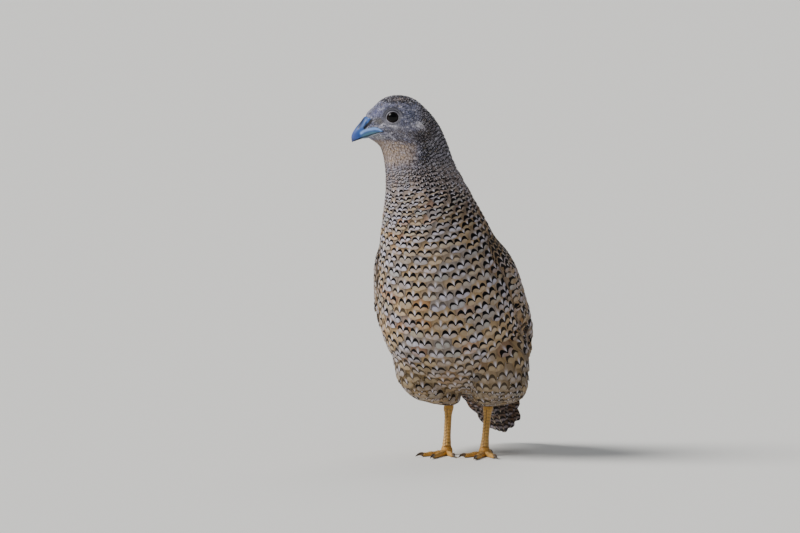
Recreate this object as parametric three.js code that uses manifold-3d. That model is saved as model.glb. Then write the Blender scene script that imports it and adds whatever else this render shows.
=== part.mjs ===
// A brown quail standing alert, life size, in millimetres.
// The body faces -Y, the bird's left is +X, up is +Z and the floor is z = 0.
// One long loft runs from the tail root to the bill and is parted by thin cuts into
// tail, torso, neck and head. Wings and thighs lie against it, feathers grow in tiers.

import * as THREE from 'three';
import Module from 'manifold-3d';

const wasm = await Module();
wasm.setup();

// Driving dimensions
const GAP = 0.35;
const RING = 24;
const HEAD_TURN = 70;
const EYE_HEIGHT = 158.6;
const EYE_SIDE = -26.5;
const EYE_AHEAD = -34.1;
const EYE_RADIUS = 3.4;
const EYE_OUT = 6.3;
const LID_RADIUS = 3.25;
const LID_OUT = 8.45;
const LID_THICKNESS = 0.62;
const LEG_SPREAD = 9;
const HEEL_HEIGHT = 22;
const TARSUS_RADIUS = 1.75;
const TOE_HEIGHT = 2.2;
const TOE_WIDTH = 1.25;
const MOUTH_SLOPE = -0.307;
const GAPE = [4.2, -6.7];
const VANE_THICKNESS = 0.95;

const degrees = THREE.MathUtils.degToRad;
const mix = THREE.MathUtils.lerp;
const up = new THREE.Vector3(0, 0, 1);

// Looks
function look(colour, roughness) {
  return new THREE.MeshStandardMaterial({ color: colour, roughness, metalness: 0 });
}

// Closed solids from rings
function solidOf(points, triangles) {
  let volume = 0;
  for (const [a, b, c] of triangles) {
    volume += points[a].dot(points[b].clone().cross(points[c]));
  }
  const order = volume > 0 ? [0, 1, 2] : [0, 2, 1];
  return new wasm.Manifold(new wasm.Mesh({
    numProp: 3,
    vertProperties: Float32Array.from(points.flatMap((p) => [p.x, p.y, p.z])),
    triVerts: Uint32Array.from(triangles.flatMap((t) => order.map((i) => t[i]))),
  }));
}

function loft(rings) {
  const count = rings[0].length;
  const points = rings.flat();
  const triangles = [];
  for (let k = 0; k + 1 < rings.length; k++) {
    for (let i = 0; i < count; i++) {
      const a = k * count + i;
      const b = k * count + (i + 1) % count;
      triangles.push([a, b, b + count], [a, b + count, a + count]);
    }
  }
  for (const [k, turned] of [[0, true], [rings.length - 1, false]]) {
    const centre = new THREE.Vector3();
    rings[k].forEach((p) => centre.addScaledVector(p, 1 / count));
    const hub = points.push(centre) - 1;
    for (let i = 0; i < count; i++) {
      const a = k * count + i;
      const b = k * count + (i + 1) % count;
      triangles.push(turned ? [b, a, hub] : [a, b, hub]);
    }
  }
  return solidOf(points, triangles);
}

function ball(radius, centre, across = 14) {
  const rings = [];
  const rows = Math.round(across * 0.6);
  for (let k = 1; k < rows; k++) {
    const slope = Math.PI * k / rows;
    rings.push(circle(across, (angle) => new THREE.Vector3(
      radius * Math.sin(slope) * Math.cos(angle),
      radius * Math.sin(slope) * Math.sin(angle),
      radius * Math.cos(slope)).add(centre)));
  }
  return loft(rings);
}

function circle(count, place) {
  return Array.from({ length: count }, (_, i) => place(2 * Math.PI * i / count));
}

function spaced(count, make) {
  return Array.from({ length: count }, (_, i) => make(i / (count - 1), i));
}

function largest(solid) {
  const pieces = solid.decompose();
  return pieces.reduce((best, piece) => (piece.volume() > best.volume() ? piece : best));
}

function meshOf(name, solid, material) {
  const data = largest(solid).getMesh();
  const geometry = new THREE.BufferGeometry();
  geometry.setAttribute('position', new THREE.BufferAttribute(data.vertProperties, 3));
  geometry.setIndex(new THREE.BufferAttribute(data.triVerts, 1));
  geometry.computeVertexNormals();
  const mesh = new THREE.Mesh(geometry, material);
  mesh.name = name;
  return mesh;
}

// The body's sections
// A section is [x, y, z, turn, lean, half width, front depth, back depth]: its centre, the
// heading in degrees to the bird's right, the tilt of its back line, and its half sizes.
const trunk = [
  [1.5, 60.0, 6.5, 0, 42, 7.0, 0.8, 0.8],
  [1.0, 54.0, 14.5, 0, 42, 9.5, 2.6, 2.6],
  [0.0, 47.5, 22.5, 0, 44, 11.0, 5.5, 5.0],
  [-1.0, 40.5, 30.0, 0, 47, 14.0, 9.0, 7.5],
  [-2.5, 32.5, 37.0, 0, 48, 20.0, 15.0, 11.5],
  [-4.9, 22.5, 45.5, 0, 48, 28.0, 23.5, 16.0],
  [-6.4, 10.0, 56.0, 0, 47, 32.8, 31.0, 20.0],
  [-6.7, -3.0, 68.0, 0, 40, 33.5, 33.0, 22.5],
  [-6.7, -12.0, 82.0, 0, 30, 31.5, 30.0, 22.0],
  [-7.7, -19.0, 96.0, 2, 24, 28.3, 25.5, 20.3],
  [-9.2, -24.0, 109.0, 14, 18, 25.0, 21.3, 18.6],
  [-11.6, -27.2, 120.0, 33, 12, 21.0, 18.5, 18.4],
  [-13.6, -29.1, 128.5, 52, 6, 16.2, 17.5, 18.2],
];

const headForward = new THREE.Vector3(
  -Math.sin(degrees(HEAD_TURN)), -Math.cos(degrees(HEAD_TURN)), 0);
const headLeft = up.clone().cross(headForward);
const headMiddle = new THREE.Vector3(EYE_SIDE, EYE_AHEAD, EYE_HEIGHT);

function headPoint(ahead, above, side = 0) {
  return headMiddle.clone().addScaledVector(headForward, ahead)
    .addScaledVector(up, above).addScaledVector(headLeft, side);
}

// On the head a section goes from the throat to the crown, each as [ahead, above] the eye.
const headSections = [
  [[3.7, -25.5], [-30.6, -23.4], 13.4, 62],
  [[3.7, -21.5], [-28.0, -18.0], 12.0, 68],
  [[4.1, -18.2], [-25.7, -12.0], 11.0, 70],
  [[4.8, -15.8], [-23.6, -7.2], 10.4, 70],
  [[5.6, -14.2], [-20.9, -2.2], 10.1, 70],
  [[6.6, -13.1], [-16.8, 2.8], 9.9, 70],
  [[7.7, -12.2], [-11.6, 7.4], 9.6, 70],
  [[8.8, -11.4], [-5.5, 9.8], 8.9, 70],
  [[9.9, -10.7], [0.4, 9.6], 7.7, 70],
  [[10.9, -10.2], [5.0, 7.7], 6.3, 70],
  [[11.6, -9.8], [8.6, 4.4], 5.1, 70],
  [[12.0, -9.3], [11.2, 1.9], 3.9, 70],
  [[12.2, -8.2], [12.0, -0.2], 2.6, 70],
];
const WIDEST = 0.46;
const HALF = 5;
const BACK = 7;

function headSection([throat, crown, half, turn]) {
  const rise = crown[1] - throat[1];
  const back = throat[0] - crown[0];
  const depth = Math.hypot(rise, back);
  const middle = headPoint(
    throat[0] - WIDEST * back, throat[1] + WIDEST * rise);
  const lean = THREE.MathUtils.radToDeg(Math.atan2(rise, back));
  return [...middle, turn, lean, half, WIDEST * depth, (1 - WIDEST) * depth];
}

const sections = [...trunk, ...headSections.map(headSection)];
const HEAD_START = trunk.length;

function spline(values, t) {
  const last = values.length - 1;
  const k = Math.min(Math.floor(t), last - 1);
  const s = t - k;
  const pick = (i) => values[THREE.MathUtils.clamp(i, 0, last)];
  return values[k].map((_, j) => {
    const [a, b, c, d] = [pick(k - 1)[j], pick(k)[j], pick(k + 1)[j], pick(k + 2)[j]];
    const slopeB = (c - a) / 2;
    const slopeC = (d - b) / 2;
    return b + s * (slopeB + s * (3 * (c - b) - 2 * slopeB - slopeC
      + s * (2 * (b - c) + slopeB + slopeC)));
  });
}

// A point of the body: t runs along the sections, angle 0 is the left side, 90 the back.
function bodyPoint(t, angle, grow = 0) {
  const [x, y, z, turn, lean, half, front, back] = spline(sections, t);
  const heading = degrees(turn);
  const tilt = degrees(lean);
  const left = new THREE.Vector3(Math.cos(heading), -Math.sin(heading), 0);
  const rear = new THREE.Vector3(Math.sin(heading), Math.cos(heading), 0);
  const dorsal = rear.multiplyScalar(Math.cos(tilt)).addScaledVector(up, Math.sin(tilt));
  const depth = Math.sin(angle) > 0 ? back : front;
  return new THREE.Vector3(x, y, z)
    .addScaledVector(left, (half + grow) * Math.cos(angle))
    .addScaledVector(dorsal, (depth + grow) * Math.sin(angle));
}

function bodyLength(t) {
  const step = 0.05;
  const from = new THREE.Vector3(...spline(sections, t - step).slice(0, 3));
  const to = new THREE.Vector3(...spline(sections, t + step).slice(0, 3));
  return from.distanceTo(to) / (2 * step);
}

function bodyLoft(from, to, steps, grow = 0) {
  const rings = [];
  for (let k = 0; k <= steps; k++) {
    const t = from + (to - from) * k / steps;
    rings.push(circle(RING, (angle) => bodyPoint(t, angle, grow)));
  }
  return loft(rings);
}

const TAIL_CUT = 3;
const TAIL_CORE_END = 1.35;
const NECK_CUT = 9.6;
const HEAD_CUT = HEAD_START + 1.5;
const HEAD_END = sections.length - 1;
const pastCut = (t, room) => t + room / bodyLength(t);

// Wings
function outward(t, angle) {
  const step = 0.02;
  const along = bodyPoint(t + step, angle).sub(bodyPoint(t - step, angle));
  const around = bodyPoint(t, angle + step).sub(bodyPoint(t, angle - step));
  return around.cross(along).normalize();
}

// A point of a wing: the same t, degrees from the side toward the back, height above the body.
function wingPoint(side, t, rise, height) {
  const angle = side > 0 ? degrees(rise) : Math.PI - degrees(rise);
  const point = bodyPoint(t, angle);
  return point.addScaledVector(outward(t, angle), height);
}

const wing = {
  front: 8.95,
  tip: 2.75,
  coreEnd: 0.86,
  lower: (v) => -8 + 24 * v * v,
  upper: (v) => 63 - 8 * v * v,
  clear: 0.8,
};

const wingT = (v) => wing.front + (wing.tip - wing.front) * v;

function wingCoreTop(v, rise) {
  const middle = (wing.lower(v) + wing.upper(v)) / 2;
  const reach = (wing.upper(v) - wing.lower(v)) / 2;
  const u = THREE.MathUtils.clamp((rise - middle) / reach, -1, 1);
  const length = Math.sin(Math.PI * THREE.MathUtils.clamp(0.12 + 0.88 * v, 0, 1)) ** 0.6;
  return wing.clear + 0.5 + 1.1 * Math.sqrt(1 - u * u) * length;
}

function wingCore(side) {
  const rows = 10;
  const across = 6;
  const rings = [];
  for (let k = 0; k <= rows; k++) {
    const v = wing.coreEnd * (0.5 - 0.5 * Math.cos(Math.PI * k / rows));
    const blunt = Math.sqrt(1 - (1 - Math.min(1, v / 0.2)) ** 2);
    const sharp = 1 - 0.75 * THREE.MathUtils.smoothstep(v, 0.5, wing.coreEnd) ** 1.5;
    const taper = Math.max(0.05, blunt * sharp);
    const middle = (wing.lower(v) + wing.upper(v)) / 2;
    const reach = (wing.upper(v) - wing.lower(v)) / 2 * taper;
    const outer = [];
    const inner = [];
    for (let i = 0; i <= across; i++) {
      const rise = middle + reach * (2 * i / across - 1);
      outer.push(wingPoint(side, wingT(v), rise, wingCoreTop(v, rise)));
      inner.push(wingPoint(side, wingT(v), rise, wing.clear));
    }
    rings.push([...outer, ...inner.reverse()]);
  }
  return loft(rings);
}

// A feather's outline: narrow at the root, widest past the middle, with a round tip
const vaneRows = [0, 0.4, 0.8, 1];

function vaneWidth(s) {
  return mix(0.6, 1, Math.min(1, 2.5 * s)) * Math.min(1, 1 - 3.2 * (s - 0.8));
}

// A wing feather from its root to its tip, each given as [v, rise]. The layer is its height
// over the core, and the tilt sets one edge over the next feather's.
function wingVane(side, { root, tip, half, layer, tilt }) {
  const sunk = 0.4;
  return loft(vaneRows.map((s) => {
    const v = mix(root[0], tip[0], s);
    const middle = mix(root[1], tip[1], s);
    const t = wingT(v);
    const girth = (spline(sections, t)[HALF] + spline(sections, t)[BACK]) / 2;
    const spread = THREE.MathUtils.radToDeg(half * vaneWidth(s) / girth);
    const core = wingCoreTop(Math.min(v, 0.8), middle);
    const top = core + mix(-sunk, layer, Math.min(1, 2.2 * s));
    const thick = VANE_THICKNESS * mix(1.15, 0.7, s);
    const edge = (k, height) => wingPoint(
      side, t, middle + k * spread, Math.max(height + tilt * k, wing.clear));
    return [edge(-1, top), edge(1, top), edge(1, top - thick), edge(-1, top - thick)];
  }));
}

// The tiers of one wing, from the primaries below to the scapulars on top
const wingTiers = [
  ...spaced(5, (q) => ({
    root: [mix(0.5, 0.6, q), mix(5, 26, q)],
    tip: [mix(0.8, 0.985, q), mix(17, 33, q)],
    half: 3.8, layer: 0.1, tilt: 0.2,
  })),
  ...spaced(5, (q) => ({
    root: [mix(0.38, 0.46, q), mix(4, 46, q)],
    tip: [mix(0.68, 0.9, q ** 1.4), mix(13, 46, q)],
    half: mix(5.4, 6.2, q), layer: 0.5, tilt: 0.25,
  })),
  ...spaced(6, (q) => ({
    root: [mix(0.17, 0.13, q), mix(-1, 49, q)],
    tip: [mix(0.47, 0.49, q), mix(3, 52, q)],
    half: 5.4, layer: 0.8, tilt: 0.25,
  })),
  ...spaced(4, (q) => ({
    root: [mix(0.12, 0.42, q), mix(56, 53, q)],
    tip: [mix(0.44, 0.74, q), mix(57, 54, q)],
    half: 4.8, layer: 1.1, tilt: -0.15,
  })),
];

function wingSolid(side) {
  return wingTiers.reduce((whole, feather) => whole.add(wingVane(side, feather)), wingCore(side));
}

// The tail: a short core and its feathers, in a frame of its own that starts at the torso
const tailRoot = new THREE.Vector3(...spline(sections, TAIL_CUT).slice(0, 3));
const tailEnd = new THREE.Vector3(...spline(sections, 0).slice(0, 3));
const tailAlong = tailEnd.clone().sub(tailRoot).normalize();
const tailAcross = new THREE.Vector3(1, 0, 0).addScaledVector(tailAlong, -tailAlong.x).normalize();
const tailUp = tailAcross.clone().cross(tailAlong).negate().normalize();

function tailPoint(along, across, above) {
  return tailRoot.clone().addScaledVector(tailAlong, along)
    .addScaledVector(tailAcross, across).addScaledVector(tailUp, above);
}

// A tail feather, its root and tip given as [along, across, above]
function tailVane({ root, tip, half, slope }) {
  return loft(vaneRows.map((s) => {
    const [along, across, above] = root.map((value, j) => mix(value, tip[j], s));
    const wide = half * vaneWidth(s);
    const thick = VANE_THICKNESS * mix(1.2, 0.65, s);
    const edge = (k, height) => tailPoint(along, across + k * wide, above + k * wide * slope + height);
    return [edge(-1, 0), edge(1, 0), edge(1, -thick), edge(-1, -thick)];
  }));
}

const rectrices = spaced(5, (q, i) => ({
  across: [mix(0.9, 5.4, q), mix(1.3, 8.2, q)], above: mix(1.5, -0.4, q), reach: 31.5 - 1.1 * i * q,
}));

const tailFeathers = [-1, 1].flatMap((side) => [
  ...rectrices.map(({ across, above, reach }) => ({
    root: [7, side * across[0], above],
    tip: [reach, side * across[1], above - 0.6],
    half: 3.1, slope: -0.12 * side,
  })),
  ...spaced(3, (q) => ({
    root: [1.5, side * mix(1.6, 9.5, q), mix(4.4, 1.0, q)],
    tip: [mix(25, 19, q), side * mix(1.9, 9.3, q), mix(2.2, 0.6, q)],
    half: 3.6, slope: -0.15 * side,
  })),
  ...spaced(3, (q) => ({
    root: [1.5, side * mix(1.8, 8.5, q), mix(-4.6, -1.8, q)],
    tip: [mix(23, 17, q), side * mix(1.9, 8.6, q), mix(-1.8, -0.9, q)],
    half: 3.6, slope: 0.12 * side,
  })),
]);

function tailSolid() {
  const core = bodyLoft(TAIL_CORE_END, pastCut(TAIL_CUT, -0.25), 5);
  return tailFeathers.reduce((whole, feather) => whole.add(tailVane(feather)), core);
}

// Thighs, feathered to the heel
const thighSections = [
  [14.0, 1.0, 62.0, 10.0, 13.0],
  [16.0, 0.5, 54.0, 14.5, 18.0],
  [16.5, 0.5, 46.0, 15.5, 19.0],
  [16.6, 1.2, 38.0, 14.6, 17.2],
  [16.2, 2.2, 31.0, 13.4, 14.0],
  [14.0, 3.4, 25.4, 10.8, 9.6],
  [10.0, 4.3, HEEL_HEIGHT + 0.5, 4.0, 4.2],
];
const THIGH_LEAN = 2.4;

function thigh(side) {
  const rings = [];
  const steps = 11;
  for (let k = 0; k <= steps; k++) {
    const [x, y, z, wide, deep] = spline(thighSections, (thighSections.length - 1) * k / steps);
    const shift = THIGH_LEAN * THREE.MathUtils.smoothstep(z, HEEL_HEIGHT, 40);
    rings.push(circle(16, (angle) => new THREE.Vector3(
      side * (x + wide * Math.cos(angle)) - shift, y + deep * Math.sin(angle), z)));
  }
  return loft(rings);
}

// Lower legs with a row of scutes down the front
const FOOT_BACK = -0.6;
const shankEnds = {
  top: [LEG_SPREAD + 0.4, 4.6, HEEL_HEIGHT + 0.5 - GAP],
  foot: [LEG_SPREAD, FOOT_BACK, 4.2 + GAP],
};
const shankSwellings = [
  { rise: 0.75, at: 0.05, reach: 0.13 },
  { rise: 0.45, at: 1, reach: 0.16 },
];
const shankShape = { wide: 0.9, deep: 1.1 };
const scutes = { count: 9, start: 0.1, length: 0.88, gapAbove: 0.006, gapBelow: 0.012 };
const scuteEdges = { upper: 0.05, lower: 0.32 };

function swelling(s) {
  return shankSwellings.reduce(
    (sum, { rise, at, reach }) => sum + rise * Math.exp(-(((s - at) / reach) ** 2)), 0);
}

function tarsus(side) {
  const [top, foot] = [shankEnds.top, shankEnds.foot].map(
    ([x, y, z]) => new THREE.Vector3(side * x, y, z));
  const ring = (s, plate) => circle(10, (angle) => {
    const frontness = Math.max(0, -Math.sin(angle));
    const radius = TARSUS_RADIUS + swelling(s) + plate * frontness;
    const centre = top.clone().lerp(foot, s);
    centre.x += radius * shankShape.wide * Math.cos(angle);
    centre.y += radius * shankShape.deep * Math.sin(angle);
    return centre;
  });
  const rings = [ring(0, 0)];
  for (let k = 0; k < scutes.count; k++) {
    const from = scutes.start + scutes.length * k / scutes.count;
    const to = from + scutes.length / scutes.count;
    rings.push(ring(from + scutes.gapAbove, scuteEdges.upper));
    rings.push(ring(to - scutes.gapBelow, scuteEdges.lower));
  }
  rings.push(ring(1, 0));
  return loft(rings);
}

// Feet: each toe's heading is measured outward from straight ahead
const toes = {
  inner: { heading: -27, length: 14, joints: 2 },
  middle: { heading: 3, length: 20, joints: 3 },
  outer: { heading: 32, length: 15.5, joints: 3 },
  hind: { heading: 172, length: 6.5, joints: 1 },
};
const toeTaper = { wide: 0.3, tall: 0.22, start: { wide: 1.12, tall: 1.08 } };
const JOINT_SWELL = 0.13;
const toePlate = { length: 3, from: 0.12, to: 0.86, rise: 0.22 };
const TOE_END_DROP = 0.35;
const TOE_BOW = 0.8;

function toeFrame(side, toe) {
  const heading = degrees(toe.heading) * side;
  const along = new THREE.Vector3(Math.sin(heading), -Math.cos(heading), 0);
  const across = up.clone().cross(along);
  const root = new THREE.Vector3(side * LEG_SPREAD, FOOT_BACK, 0);
  return { along, across, root };
}

function toeSolid(side, toe) {
  const { along, across, root } = toeFrame(side, toe);
  const corners = 8;
  const ring = (s, plate) => {
    const joint = JOINT_SWELL * Math.cos(2 * Math.PI * s * toe.joints);
    const wide = TOE_WIDTH * (toeTaper.start.wide - toeTaper.wide * s + joint);
    const tall = TOE_HEIGHT * (toeTaper.start.tall - toeTaper.tall * s + joint / 2) + plate;
    const centre = root.clone().addScaledVector(along, toe.length * s);
    return spaced(corners, (q) => centre.clone()
      .addScaledVector(across, wide * Math.cos(Math.PI * q))
      .addScaledVector(up, tall * Math.sin(Math.PI * q) ** TOE_BOW));
  };
  const rings = [ring(0, 0)];
  const plates = Math.round(toe.length / toePlate.length);
  for (let k = 0; k < plates; k++) {
    rings.push(ring((k + toePlate.from) / plates, 0));
    rings.push(ring((k + toePlate.to) / plates, toePlate.rise));
  }
  rings.push(ring(1, -TOE_END_DROP));
  return loft(rings);
}

// The ball of the foot, as heights and radii
const footHub = [[0, 2.3], [1.2, 2.7], [2.6, 2.6], [4.2, 2.0]];

function foot(side) {
  const hub = loft(footHub.map(([z, radius]) => circle(12, (angle) => new THREE.Vector3(
    side * LEG_SPREAD + radius * Math.cos(angle), FOOT_BACK + radius * Math.sin(angle), z))));
  return Object.values(toes).reduce((whole, toe) => whole.add(toeSolid(side, toe)), hub);
}

const clawShape = {
  length: 2.4, perToe: 0.09, root: 0.78, tip: 0.14, taper: 0.7, height: 1.2, arch: 0.35, drop: 0.62,
};

function claw(side, toe) {
  const { along, across, root } = toeFrame(side, toe);
  const steps = 4;
  const length = clawShape.length + toe.length * clawShape.perToe;
  return loft(spaced(steps + 1, (s) => {
    const radius = clawShape.root * (1 - s) ** clawShape.taper + clawShape.tip;
    const height = clawShape.height + clawShape.arch * Math.sin(Math.PI * s)
      - clawShape.drop * s * s;
    const centre = root.clone().addScaledVector(along, toe.length + GAP + length * s)
      .addScaledVector(up, height);
    return circle(6, (angle) => centre.clone()
      .addScaledVector(across, radius * Math.cos(angle))
      .addScaledVector(up, radius * Math.sin(angle)));
  }));
}

// The bill, each section from the cutting edge to the ridge as [ahead, above] the eye
const upperBill = [
  [[9.0, -8.17], [9.8, -0.9], 4.5],
  [[11.2, -8.75], [12.2, -0.2], 4.2],
  [[13.3, -9.2], [14.3, -2.35], 3.5],
  [[15.2, -9.8], [16.2, -4.6], 2.75],
  [[16.8, -10.4], [17.7, -6.5], 1.95],
  [[18.1, -10.95], [18.7, -8.6], 1.15],
  [[18.7, -11.6], [19.0, -11.0], 0.4],
];

const lowerBill = [
  [[8.6, -8.45], [8.8, -10.0], 3.9],
  [[11.0, -9.1], [11.2, -10.3], 3.5],
  [[13.2, -9.55], [13.4, -10.45], 2.8],
  [[15.2, -10.15], [15.4, -10.95], 2.1],
  [[16.8, -10.75], [16.95, -11.3], 1.2],
  [[17.6, -11.1], [17.7, -11.45], 0.5],
];
const BILL_BOW = 0.85;

function bill(list, grow = 0) {
  const steps = 9;
  const corners = 11;
  const ends = list.map(([edge, ridge, half]) => [...edge, ...ridge, half]);
  return loft(spaced(steps + 1, (q, k) => {
    const [edgeAhead, edgeAbove, ridgeAhead, ridgeAbove, half] = spline(
      ends, (ends.length - 1) * q);
    const edge = headPoint(edgeAhead, edgeAbove);
    const ridge = headPoint(ridgeAhead, ridgeAbove);
    const rise = ridge.clone().sub(edge).normalize();
    edge.addScaledVector(rise, -grow);
    ridge.addScaledVector(rise, grow);
    const beyond = (k === 0 ? -grow : 0) + (k === steps ? grow : 0);
    return spaced(corners, (turn) => edge.clone()
      .lerp(ridge, Math.sin(Math.PI * turn) ** BILL_BOW)
      .addScaledVector(headLeft, (half + grow) * Math.cos(Math.PI * turn))
      .addScaledVector(headForward, beyond));
  }));
}

const nostrilSlit = { middle: [12.0, -4.4, 3.9], ahead: 0.3, down: 0.36, deep: 0.85, high: 0.42 };

function nostril(side) {
  const [ahead, above, out] = nostrilSlit.middle;
  const ends = 3.4;
  const rings = [];
  for (let k = -3; k <= 3; k++) {
    const reach = Math.sqrt(1 - (k / ends) ** 2);
    const centre = headPoint(
      ahead + k * nostrilSlit.ahead, above - k * nostrilSlit.down, side * out);
    rings.push(circle(8, (angle) => centre.clone()
      .addScaledVector(headLeft, nostrilSlit.deep * reach * Math.cos(angle))
      .addScaledVector(up, nostrilSlit.high * reach * Math.sin(angle))));
  }
  return loft(rings);
}

// The line of the mouth runs on behind the bill as a thin groove in each cheek, given as
// places ahead of the eye and how far inside the cheek the groove begins
const mouthGroove = [[GAPE[0], 6.0], [6.8, 5.0], [9.6, 3.6]];
const GROOVE_HALF = 0.17;
const GROOVE_REACH = 5;

function mouthLine(side) {
  return loft(mouthGroove.map(([ahead, inside]) => {
    const above = GAPE[1] + MOUTH_SLOPE * (ahead - GAPE[0]);
    const outside = inside + GROOVE_REACH;
    const corners = [
      [inside, -GROOVE_HALF], [outside, -GROOVE_HALF], [outside, GROOVE_HALF], [inside, GROOVE_HALF]];
    return corners.map(([out, rise]) => headPoint(ahead, above + rise, side * out));
  }));
}

// Eyes in their sockets, each with a ring of lids
function eyeCentre(side) {
  return headPoint(0, 0, side * EYE_OUT);
}

function lids(side) {
  const rings = [];
  const count = 14;
  const points = [];
  const triangles = [];
  const around = 6;
  for (let k = 0; k < count; k++) {
    const turn = 2 * Math.PI * k / count;
    const outwards = headForward.clone().multiplyScalar(Math.cos(turn))
      .addScaledVector(up, Math.sin(turn));
    const centre = headPoint(0, 0, side * LID_OUT).addScaledVector(outwards, LID_RADIUS);
    rings.push(circle(around, (angle) => centre.clone()
      .addScaledVector(outwards, LID_THICKNESS * Math.cos(angle))
      .addScaledVector(headLeft, side * LID_THICKNESS * Math.sin(angle))));
  }
  rings.forEach((ring) => points.push(...ring));
  for (let k = 0; k < count; k++) {
    const next = (k + 1) % count;
    for (let i = 0; i < around; i++) {
      const j = (i + 1) % around;
      const [a, b] = [k * around + i, k * around + j];
      const [c, d] = [next * around + j, next * around + i];
      triangles.push([a, b, c], [a, c, d]);
    }
  }
  return solidOf(points, triangles);
}

function headSolid() {
  let solid = bodyLoft(pastCut(HEAD_CUT, 0.3), HEAD_END, 20);
  for (const side of [-1, 1]) {
    solid = solid.add(lids(side));
    solid = solid.subtract(ball(EYE_RADIUS + GAP, eyeCentre(side)));
    solid = solid.subtract(mouthLine(side));
  }
  return solid.subtract(bill(upperBill, GAP)).subtract(bill(lowerBill, GAP));
}

// The whole bird
const featherBrown = 0x7d7264;
const featherDark = 0x5b5147;
const faceGrey = 0x8d8a88;
const billBlue = 0x5f7590;
const legYellow = 0xd9952e;
const clawBrown = 0x4b3d30;
const eyeBlack = 0x14100e;

const bird = new THREE.Group();
const torsoGrown = bodyLoft(TAIL_CUT, NECK_CUT, 26, GAP);
const torso = bodyLoft(pastCut(TAIL_CUT, 0.15), pastCut(NECK_CUT, -0.15), 26);
const neck = bodyLoft(pastCut(NECK_CUT, 0.2), pastCut(HEAD_CUT, -0.2), 10);

bird.add(meshOf('torso', torso, look(featherBrown, 0.9)));
bird.add(meshOf('neck', neck, look(featherBrown, 0.9)));
bird.add(meshOf('head', headSolid(), look(faceGrey, 0.9)));
bird.add(meshOf('tail', tailSolid(), look(featherDark, 0.9)));
const nostrils = nostril(-1).add(nostril(1));
bird.add(meshOf('bill_upper', bill(upperBill).subtract(nostrils), look(billBlue, 0.4)));
bird.add(meshOf('bill_lower', bill(lowerBill), look(billBlue, 0.45)));
for (const [side, name] of [[1, 'left'], [-1, 'right']]) {
  bird.add(meshOf(`eye_${name}`, ball(EYE_RADIUS, eyeCentre(side)), look(eyeBlack, 0.08)));
  bird.add(meshOf(`wing_${name}`, wingSolid(side), look(featherDark, 0.85)));
  bird.add(meshOf(`thigh_${name}`, thigh(side).subtract(torsoGrown), look(featherBrown, 0.95)));
  bird.add(meshOf(`tarsus_${name}`, tarsus(side), look(legYellow, 0.5)));
  bird.add(meshOf(`foot_${name}`, foot(side), look(legYellow, 0.55)));
  for (const [toeName, toe] of Object.entries(toes)) {
    bird.add(meshOf(`claw_${name}_${toeName}`, claw(side, toe), look(clawBrown, 0.45)));
  }
}

// The origin is on the floor, under the middle of the bird
const box = new THREE.Box3().setFromObject(bird);
const middle = box.getCenter(new THREE.Vector3());
bird.position.set(-middle.x, -middle.y, 0);
bird.updateMatrixWorld(true);

export default bird;
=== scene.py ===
# %% [markdown]
# # A brown quail, feather by feather
# A museum quail is a body form, more than three thousand feathers laid in rows, a pair of
# glass eyes, a horn bill and scaly legs. The lesson makes it in that order. Everything is in
# metres at the end, but a bird is measured in millimetres, so the sizes are written in those.

# %% Load the fixed model
import math
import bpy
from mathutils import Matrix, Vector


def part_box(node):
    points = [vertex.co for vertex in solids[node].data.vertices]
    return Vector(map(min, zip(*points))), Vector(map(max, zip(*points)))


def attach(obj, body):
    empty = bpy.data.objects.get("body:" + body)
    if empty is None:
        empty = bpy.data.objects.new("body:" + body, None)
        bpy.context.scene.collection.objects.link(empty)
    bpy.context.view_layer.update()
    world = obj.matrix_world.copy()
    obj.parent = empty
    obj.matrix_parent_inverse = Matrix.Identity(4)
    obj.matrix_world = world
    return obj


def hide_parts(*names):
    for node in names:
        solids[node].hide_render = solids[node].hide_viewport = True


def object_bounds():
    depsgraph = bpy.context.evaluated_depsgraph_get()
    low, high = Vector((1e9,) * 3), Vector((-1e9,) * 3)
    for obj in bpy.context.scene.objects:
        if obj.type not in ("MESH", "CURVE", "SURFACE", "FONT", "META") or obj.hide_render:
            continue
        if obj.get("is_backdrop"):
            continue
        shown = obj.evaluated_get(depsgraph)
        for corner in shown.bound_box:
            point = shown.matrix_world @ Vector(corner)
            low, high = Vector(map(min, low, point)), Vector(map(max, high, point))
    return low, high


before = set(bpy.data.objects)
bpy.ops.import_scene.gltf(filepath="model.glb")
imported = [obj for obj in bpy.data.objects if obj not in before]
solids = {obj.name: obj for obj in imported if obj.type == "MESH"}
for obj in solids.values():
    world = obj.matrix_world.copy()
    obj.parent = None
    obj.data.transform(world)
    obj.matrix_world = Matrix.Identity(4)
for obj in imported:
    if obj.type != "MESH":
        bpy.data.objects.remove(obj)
from types import SimpleNamespace
import bpy
import numpy as np
from mathutils import Vector
from mathutils.bvhtree import BVHTree
MM = 0.001
cad_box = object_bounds()
size = [round((high - low) / MM, 1) for low, high in zip(*cad_box)]
print(len(solids), "solids; the bird is", size, "mm")

# %% [markdown]
# ## Where the head is
# The head looks 70 degrees to the bird's right. Bill, lids and face feathers are easier to
# place with sizes taken from the eyes: so far ahead, so far above, so far to the side. The
# two eyes also tell how far the solids were moved to stand over the middle of the floor.

# %% Head directions and the shift of the solids
HEAD_TURN = math.radians(70)
EYES = np.array([-26.5, -34.1, 158.6])
EYE_OUT = 6.3
EYE_RADIUS = 3.4
UP = np.array([0.0, 0.0, 1.0])
AHEAD = np.array([-math.sin(HEAD_TURN), -math.cos(HEAD_TURN), 0.0])
HEAD_LEFT = np.cross(UP, AHEAD)


def box_middle(name):
    low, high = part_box(name)
    return (np.array(low) + np.array(high)) / 2 / MM


SHIFT = (box_middle("eye_left") + box_middle("eye_right")) / 2 - EYES


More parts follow.
